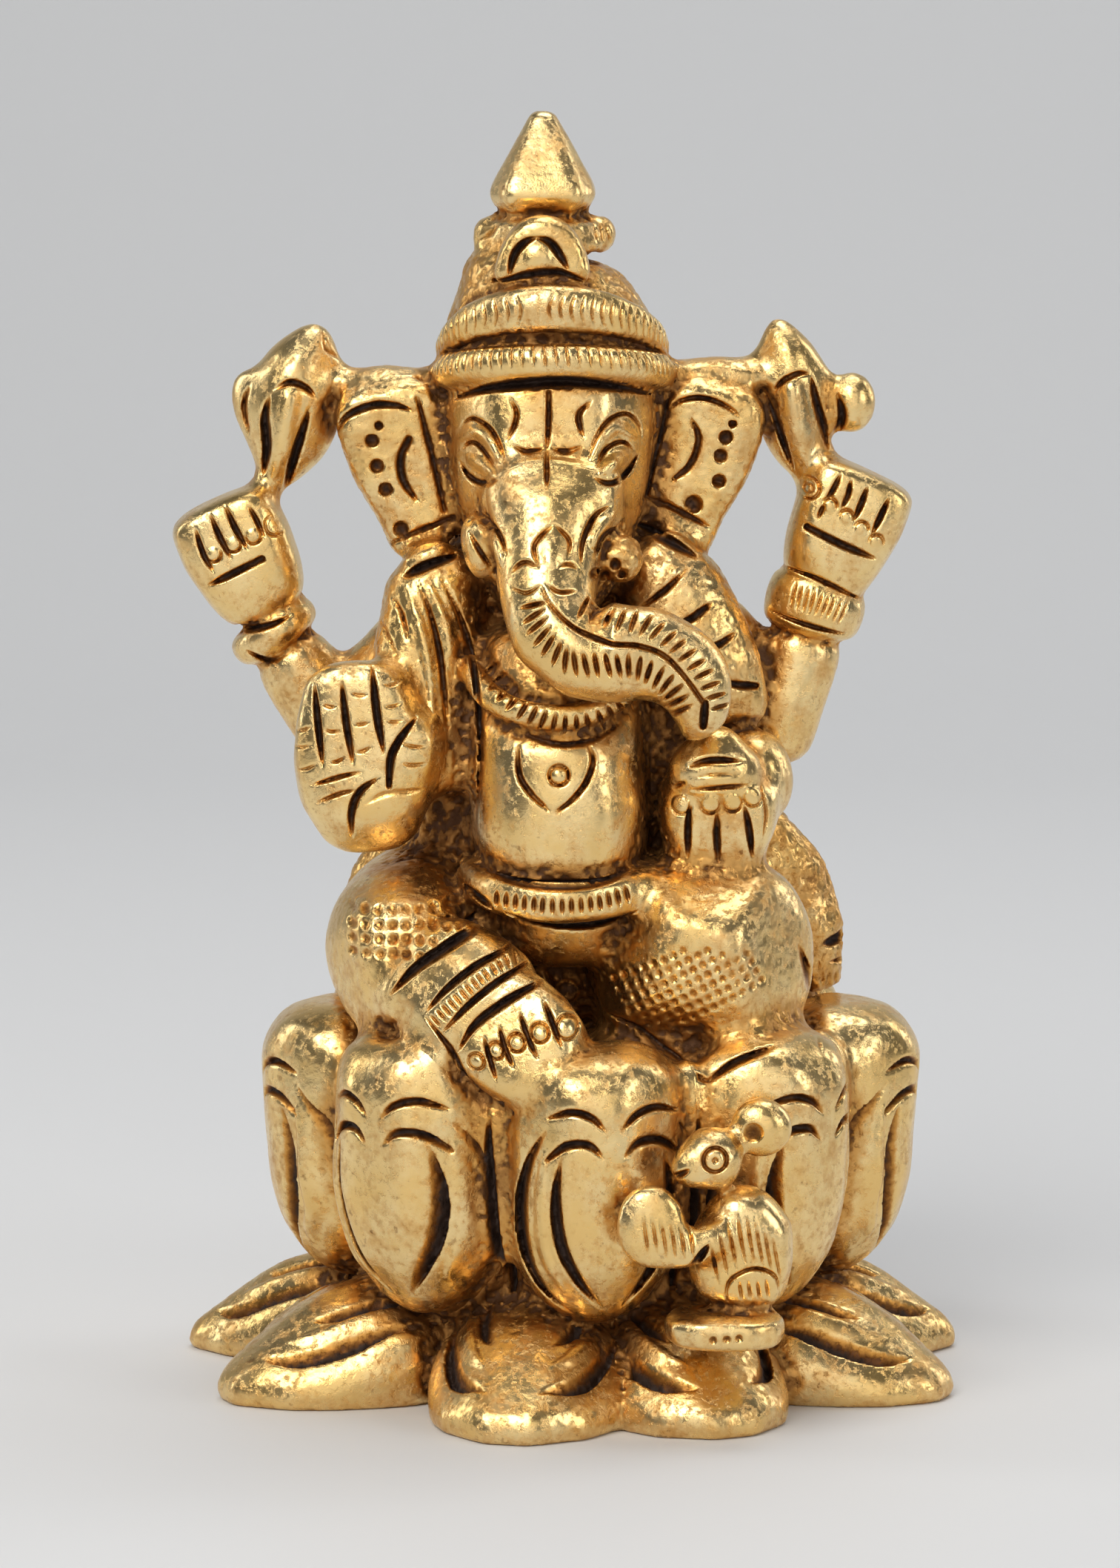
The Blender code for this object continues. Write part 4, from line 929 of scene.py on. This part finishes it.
class Form:
    """One CAD form as a distance field on its own part of the coarse grid."""

    def __init__(self, name):
        points, triangles = triangles_mm(frame["nodes"][name])
        self.name = name
        self.first = np.floor((points.min(0) - FAR) / COARSE).astype(int)
        last = np.ceil((points.max(0) + FAR) / COARSE).astype(int)
        field = np.empty(last - self.first + 1, np.float32)
        transform = vdb.createLinearTransform(voxelSize=COARSE)
        grid = vdb.FloatGrid.createLevelSetFromPolygons(
            points, triangles, transform=transform, halfWidth=BAND
        )
        grid.copyToArray(field, ijk=tuple(int(i) for i in self.first))
        self.field = blur(field, SOFT.get(name, USUAL_SOFTNESS) / COARSE) - GROW
        for facing, depth in FLATS.get(name, ()):
            self.flatten(np.array(facing) / np.linalg.norm(facing), points, depth)
        for low, high, up in SPREADS.get(name, ()):
            self.spread(low, high, up)

    def spread(self, low, high, up):
        """Thickens the form upwards between two places in x."""
        x = (self.first[0] + np.arange(self.field.shape[0])) * COARSE
        outside = np.maximum(np.maximum(low - x, x - high), 0).astype(np.float32)
        moved = np.roll(self.field, round(up / COARSE), axis=2) + outside[:, None, None]
        self.field = run_together(self.field, moved, SPREAD_EDGE)

    def flatten(self, facing, points, depth):
        """Files a flat across the form, this deep below its summit in the direction that the flat faces."""
        places = [(self.first[a] + np.arange(self.field.shape[a])) * COARSE * facing[a] for a in range(3)]
        height = places[0][:, None, None] + places[1][None, :, None] + places[2][None, None, :]
        beyond = (height - (points @ facing).max() + depth).astype(np.float32)
        self.field = -run_together(-self.field, -beyond, FLAT_EDGE)

    def where(self):
        """The form's grid as slices of the whole."""
        start = self.first - FIRST
        return tuple(slice(a, a + n) for a, n in zip(start, self.field.shape))


def overlap(one, other):
    """The box that two forms' grids share, as slices of each, or None."""
    low = np.maximum(one.first, other.first)
    high = np.minimum(one.first + one.field.shape, other.first + other.field.shape)
    if (low >= high).any():
        return None
    return tuple(
        tuple(slice(a, b) for a, b in zip(low - form.first, high - form.first)) for form in (one, other)
    )


class Casting:
    """All forms joined in one field, and each form's own share of it."""

    def __init__(self):
        self.forms = {name: Form(name) for name in sorted(frame["nodes"])}
        weight = np.zeros(SHAPE, np.float32)
        for form in self.forms.values():
            weight[form.where()] += np.exp(-form.field / FILLET)
        solid = -FILLET * np.log(np.maximum(weight, math.exp(-FAR / FILLET)))
        for one, other, reach in FLOWS:
            self.let_flow(solid, self.forms[one], self.forms[other], reach)
        self.solid = self.redistanced(solid)
        inside = np.clip(0.5 - self.solid / COARSE, 0, 1)
        self.near_hollow = blur(inside, NEAR_REACH / COARSE)
        self.far_hollow = blur(inside, FAR_REACH / COARSE)
        waves = blur(np.random.default_rng(SEED).standard_normal(SHAPE).astype(np.float32), WAVE_REACH)
        self.solid += WAVE / waves.std() * waves
        height = (FIRST[2] + np.arange(SHAPE[2])) * COARSE
        self.solid = np.maximum(self.solid, -height.astype(np.float32))  # filed flat underneath
        near = (self.near_hollow - NEAR_START) / NEAR_SPAN
        far = (self.far_hollow - FAR_START) / FAR_SPAN
        self.rough = np.clip(np.maximum(near, far), 0, 1)
        self.grain = grain_block()

    @staticmethod
    def let_flow(solid, one, other, reach):
        """Fills the valley between two forms."""
        both = overlap(one, other)
        if both is None:
            return
        a, b = one.field[both[0]], other.field[both[1]]
        known = np.clip((FAR - np.maximum(a, b)) / FLOW_FADE, 0, 1)
        flow = run_together(a, b, reach, known)
        start = one.first - FIRST + [s.start for s in both[0]]
        window = solid[tuple(slice(a, a + n) for a, n in zip(start, flow.shape))]
        np.minimum(window, flow, out=window)

    @staticmethod
    def redistanced(field):
        """The same surface as a true distance field, so that a cut's depth is a depth below the skin."""
        volume = vdb.FloatGrid(FAR)
        volume.copyFromArray(field)
        points, _, quads = volume.convertToPolygons(isovalue=0.0, adaptivity=0.0)
        triangles = np.concatenate([quads[:, [0, 1, 2]], quads[:, [0, 2, 3]]])
        out = np.empty(field.shape, np.float32)
        transform = vdb.createLinearTransform(voxelSize=COARSE)
        grid = vdb.FloatGrid.createLevelSetFromPolygons(
            (points * COARSE).astype(np.float32),
            triangles.astype(np.uint32),
            transform=transform,
            halfWidth=BAND,
        )
        grid.copyToArray(out)
        return out

    def share(self, name):
        """On the form's grid: the casting, how far past the form's share, the same at sunk joints, grain."""
        form = self.forms[name]
        nearest = np.full(form.field.shape, FAR, np.float32)
        apart = np.full(form.field.shape, FAR, np.float32)
        soft = {n for one, other, _ in FLOWS if name in (one, other) for n in (one, other)}
        for other in self.forms.values():
            both = None if other is form else overlap(form, other)
            if both is None:
                continue
            np.minimum(nearest[both[0]], other.field[both[1]], out=nearest[both[0]])
            if other.name not in soft:
                np.minimum(apart[both[0]], other.field[both[1]], out=apart[both[0]])
        rough = np.maximum(self.rough[form.where()], AS_CAST.get(name, LEAST_GRAIN))
        return self.solid[form.where()], (form.field - nearest) / 2, (form.field - apart) / 2, rough


def grain_block():
    """A block of the casting's grain that repeats without a seam, 0 on its summits and 1 in its pits."""
    spectrum = np.fft.fftn(np.random.default_rng(SEED).standard_normal((GRAIN_SIZE,) * 3))
    turns = np.fft.fftfreq(GRAIN_SIZE)
    square = turns[:, None, None] ** 2 + turns[None, :, None] ** 2 + turns[None, None, :] ** 2
    block = 0
    for size, strength in GRAINS:
        part = np.fft.ifftn(spectrum * np.exp(-2 * (math.pi * size) ** 2 * square)).real
        block = block + strength * part / part.std()
    return (1 / (1 + np.exp(-PIT_SHARPNESS * (block - PIT_LEVEL)))).astype(np.float32)


class Grid:
    """The coordinates of a form's fine grid, each shaped so that they broadcast to the whole."""

    def __init__(self, form, times):
        self.step = COARSE / times
        self.first = form.first * times
        self.shape = tuple(n * times for n in form.field.shape)
        axes = [(self.first[a] + np.arange(self.shape[a])) * self.step for a in range(3)]
        self.x = axes[0].astype(np.float32)[:, None, None]
        self.y = axes[1].astype(np.float32)[None, :, None]
        self.z = axes[2].astype(np.float32)[None, None, :]

    def filled_from(self, block):
        """A repeating block's values all over the grid."""
        axes = (self.x, self.y, self.z)
        places = [np.round(axis.ravel() / GRAIN_STEP).astype(int) % GRAIN_SIZE for axis in axes]
        return block[np.ix_(*places)]


# ---------------------------------------------------------------- from a field to a mesh


def skin_of(field, grid):
    """(points in mm, quads) of the surface where field is 0."""
    for axis in range(3):
        for end in (0, -1):
            border = [slice(None)] * 3
            border[axis] = end
            field[tuple(border)] = 1.0
    volume = vdb.FloatGrid(1.0)
    volume.copyFromArray(np.ascontiguousarray(field))
    points, triangles, quads = volume.convertToPolygons(isovalue=0.0, adaptivity=0.0)
    if len(triangles):
        quads = np.concatenate([quads, np.column_stack([triangles, triangles[:, :1]])])
    return (points + grid.first) * grid.step, quads


def drop_specks(points, quads, least=0.02):
    """Keeps only the bodies of the surface that hold at least this part of its points."""
    label = np.arange(len(points))
    ends = np.concatenate([quads[:, [0, 1]], quads[:, [1, 2]], quads[:, [2, 3]], quads[:, [3, 0]]])
    while True:
        before = label.copy()
        low = np.minimum(label[ends[:, 0]], label[ends[:, 1]])
        np.minimum.at(label, ends[:, 0], low)
        np.minimum.at(label, ends[:, 1], low)
        label = label[label]
        if np.array_equal(before, label):
            break
    names, counts = np.unique(label, return_counts=True)
    kept = np.isin(label, names[counts >= least * len(points)])
    new_index = np.cumsum(kept) - 1
    return points[kept], new_index[quads[kept[quads[:, 0]]]]


def make_mesh(name, points, quads):
    mesh = bpy.data.meshes.new(name)
    mesh.vertices.add(len(points))
    mesh.vertices.foreach_set("co", (points * MM).astype(np.float32).ravel())
    flipped = quads[:, ::-1]
    mesh.loops.add(len(flipped) * 4)
    mesh.loops.foreach_set("vertex_index", flipped.astype(np.int32).ravel())
    mesh.polygons.add(len(flipped))
    mesh.polygons.foreach_set("loop_start", np.arange(0, len(flipped) * 4, 4, dtype=np.int32))
    mesh.update(calc_edges=True)
    mesh.validate()
    return mesh


def set_attribute(mesh, name, values):
    attribute = mesh.attributes.new(name, "FLOAT", "POINT")
    attribute.data.foreach_set("value", values.astype(np.float32))


# Forms with broad work only, which are meshed at half the coarse step; the others at a third of it.
BROAD = {
    "torso", "belly", "back_bolster", "pedestal_core", "right_web", "left_web", "right_thigh",
    "left_folded_leg", "right_rear_arm", "left_rear_arm", "shawl_left_fall", "shawl_right_fall",
    "right_ear", "left_ear", "right_axe_head", "left_goad_head", "left_goad_knob", "crown_dome",
    "crown_collar", "crown_finial", "modak", "mouse_slab", "right_tusk", "left_broken_tusk",
    *UPPER_PETALS, *LOWER_PETALS,
}


def cast_piece(casting, name, metal):
    """A form's own piece of the casting, with its chisel work and its grain, as a mesh object."""
    form = casting.forms[name]
    times = 2 if name in BROAD else 3
    grid = Grid(form, times)
    solid, past, hard, rough = (finer(field, times) for field in casting.share(name))
    join = np.exp(-((hard / CREASE_WIDTH) ** 2))
    pit = np.clip(rough, 0, 1) * grid.filled_from(casting.grain)
    cut = np.zeros(grid.shape, np.float32)
    boards = WORK.get(name, ())
    if boards:
        slopes = np.gradient(solid, grid.step)
        raised = np.zeros(grid.shape, np.float32)
        for board in boards:
            off, on = board.carve(slopes, grid)
            cut, raised = np.maximum(cut, off), np.maximum(raised, on)
        solid = solid - raised
    carved = np.maximum(cut, CREASE * join) + ROUGH * pit
    field = np.maximum(solid + carved + DIP * np.maximum(past, 0), past - TONGUE)
    points, quads = drop_specks(*skin_of(field, grid))
    mesh = make_mesh(f"{name}_brass", points, quads)
    mesh.shade_smooth()
    near, far = (sample(field, FIRST, COARSE, points) for field in (casting.near_hollow, casting.far_hollow))
    cut, pit, join, rough = (
        sample(field, grid.first, grid.step, points) for field in (cut, pit, join, rough)
    )
    set_attribute(mesh, "cut", cut)
    set_attribute(mesh, "pit", pit)
    sheltered = (np.maximum(near, far) - STAIN_START) / STAIN_SPAN
    set_attribute(mesh, "stain", np.maximum.reduce([sheltered, JOIN_STAIN * join, ROUGH_STAIN * rough]))
    mesh.materials.append(metal)
    piece = bpy.data.objects.new(f"{name}_brass", mesh)
    bpy.context.scene.collection.objects.link(piece)
    return piece


# ---------------------------------------------------------------- brass


class Nodes:
    """Adds shader nodes and wires them in one call."""

    def __init__(self, name):
        self.material = bpy.data.materials.new(name)
        self.material.use_nodes = True
        self.tree = self.material.node_tree
        self.shader = self.tree.nodes["Principled BSDF"]

    def add(self, kind, inputs=None, **settings):
        node = self.tree.nodes.new(kind)
        for key, value in settings.items():
            setattr(node, key, value)
        for key, value in (inputs or {}).items():
            self.put(node.inputs[key], value)
        return node

    def put(self, socket, value):
        if isinstance(value, bpy.types.NodeSocket):
            self.tree.links.new(value, socket)
        else:
            socket.default_value = value

    def attribute(self, name):
        return self.add("ShaderNodeAttribute", attribute_name=name).outputs["Fac"]

    def math(self, operation, a, b):
        node = self.add("ShaderNodeMath", operation=operation)
        self.put(node.inputs[0], a)
        self.put(node.inputs[1], b)
        return node.outputs[0]

    def span(self, value, low, high, start=0.0, end=1.0):
        inputs = {"Value": value, "From Min": low, "From Max": high, "To Min": start, "To Max": end}
        return self.add("ShaderNodeMapRange", inputs, interpolation_type="SMOOTHSTEP").outputs["Result"]

    def noise(self, scale, detail=3.0, roughness=0.6):
        place = self.add("ShaderNodeTexCoord").outputs["Object"]
        inputs = {"Vector": place, "Scale": scale, "Detail": detail, "Roughness": roughness}
        return self.add("ShaderNodeTexNoise", inputs).outputs["Fac"]

    def mix(self, factor, a, b):
        node = self.add("ShaderNodeMix", data_type="RGBA")
        self.put(node.inputs["Factor"], factor)
        self.put(node.inputs["A"], a)
        self.put(node.inputs["B"], b)
        return node.outputs["Result"]


# Linear colours, from rubbed metal to the soot in the cuts.
BRIGHT = (0.86, 0.58, 0.22, 1)
PALE = (0.93, 0.71, 0.35, 1)
HONEY = (0.60, 0.28, 0.055, 1)
UMBER = (0.19, 0.072, 0.020, 1)
SOOT = (0.030, 0.014, 0.008, 1)
BUMP_M = 0.0001  # height of the finest unevenness
TARNISH = {"brass_polished": 0.0, "brass_rubbed": 0.06, "brass_darkened": 0.22}  # extra stain of each slot


def brass(name, tarnish):
    """Rubbed brass that keeps brown polish in its hollows, and soot in its cuts and pits."""
    n = Nodes(name)
    blotch = n.noise(240.0, 4.0)
    patch = n.noise(520.0, 5.0, 0.7)
    speck = n.noise(2100.0, 5.0, 0.7)
    fleck = n.noise(1500.0, 3.0, 0.6)
    pit, cut = n.attribute("pit"), n.attribute("cut")
    stain = n.math("ADD", n.attribute("stain"), tarnish)

    def centred(value, strength):
        return n.math("MULTIPLY", n.math("SUBTRACT", value, 0.5), strength)

    stained = n.math("ADD", n.math("ADD", stain, centred(blotch, 0.8)), centred(patch, 0.9))
    stained = n.math("ADD", stained, centred(speck, 0.6))
    tan = n.span(stained, -0.1, 0.45)
    brown = n.span(stained, 0.42, 1.05)
    cut_noisy = n.math("ADD", cut, centred(speck, 0.22))
    dark = n.span(cut_noisy, 0.16, 0.40)
    dusk = n.span(cut_noisy, 0.07, 0.24)
    warm = n.span(cut_noisy, 0.015, 0.12)
    pit_noisy = n.math("ADD", pit, centred(speck, 1.5))
    sunk = n.math("MULTIPLY", n.span(pit_noisy, 0.2, 0.85), n.span(stained, 0.0, 0.9, 0.45, 1.0))
    spots = n.math("MULTIPLY", n.span(fleck, 0.64, 0.72), n.span(stained, -0.3, 0.4, 0.25, 0.8))
    base = n.mix(n.span(blotch, 0.35, 0.65), BRIGHT, PALE)
    base = n.mix(n.math("MULTIPLY", tan, 0.8), base, HONEY)
    base = n.mix(n.math("MULTIPLY", brown, 0.65), base, UMBER)
    base = n.mix(n.math("MULTIPLY", warm, 0.75), base, HONEY)
    base = n.mix(n.math("MULTIPLY", n.math("MAXIMUM", sunk, spots), 0.8), base, UMBER)
    base = n.mix(n.math("MULTIPLY", sunk, n.math("MULTIPLY", brown, 0.6)), base, SOOT)
    base = n.mix(n.math("MULTIPLY", dusk, 0.85), base, UMBER)
    base = n.mix(dark, base, SOOT)
    n.put(n.shader.inputs["Base Color"], base)
    grime = n.math("MAXIMUM", n.math("MULTIPLY", brown, 0.5), n.math("MULTIPLY", sunk, 0.8))
    grime = n.math("MAXIMUM", dark, grime)
    n.put(n.shader.inputs["Metallic"], n.span(grime, 0.35, 1.0, 1.0, 0.4))
    dullness = n.math("ADD", grime, n.span(patch, 0.3, 0.8, 0.0, 0.3))
    dullness = n.math("ADD", n.math("MULTIPLY", tan, 0.3), dullness)
    n.put(n.shader.inputs["Roughness"], n.span(dullness, 0.0, 1.2, 0.25, 0.6))
    pocks = n.span(speck, 0.5, 0.75)
    rough = n.math("ADD", n.math("MULTIPLY", tan, 0.7), 0.3)
    bump = n.add(
        "ShaderNodeBump",
        {"Height": n.math("MULTIPLY", pocks, rough), "Distance": BUMP_M, "Strength": 0.5},
        invert=True,
    )
    waves = n.add("ShaderNodeBump", {"Height": patch, "Distance": BUMP_M, "Strength": 0.45})
    n.put(bump.inputs["Normal"], waves.outputs["Normal"])
    n.put(n.shader.inputs["Normal"], bump.outputs["Normal"])
    return n.material


# ---------------------------------------------------------------- the scene


def main():
    point_camera()
    lay_floor()
    light_studio()
    for chasing in (
        chase_crown, chase_face, chase_trunk, chase_ears, chase_raised_hands, chase_palm, chase_sweet_hand,
        chase_chest, chase_waist, chase_legs, chase_upper_petals, chase_lower_petals, chase_mouse,
    ):
        chasing()
    casting = Casting()
    slots = {part["node"]: part["material_slot"] for part in frame["record"]["subparts"]}
    metals = {slot: brass(slot, tarnish) for slot, tarnish in TARNISH.items()}
    for name in casting.forms:
        piece = cast_piece(casting, name, metals[slots[name]])
        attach(piece, "root")
        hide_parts(name)
        print(name, len(piece.data.polygons), flush=True)


main()
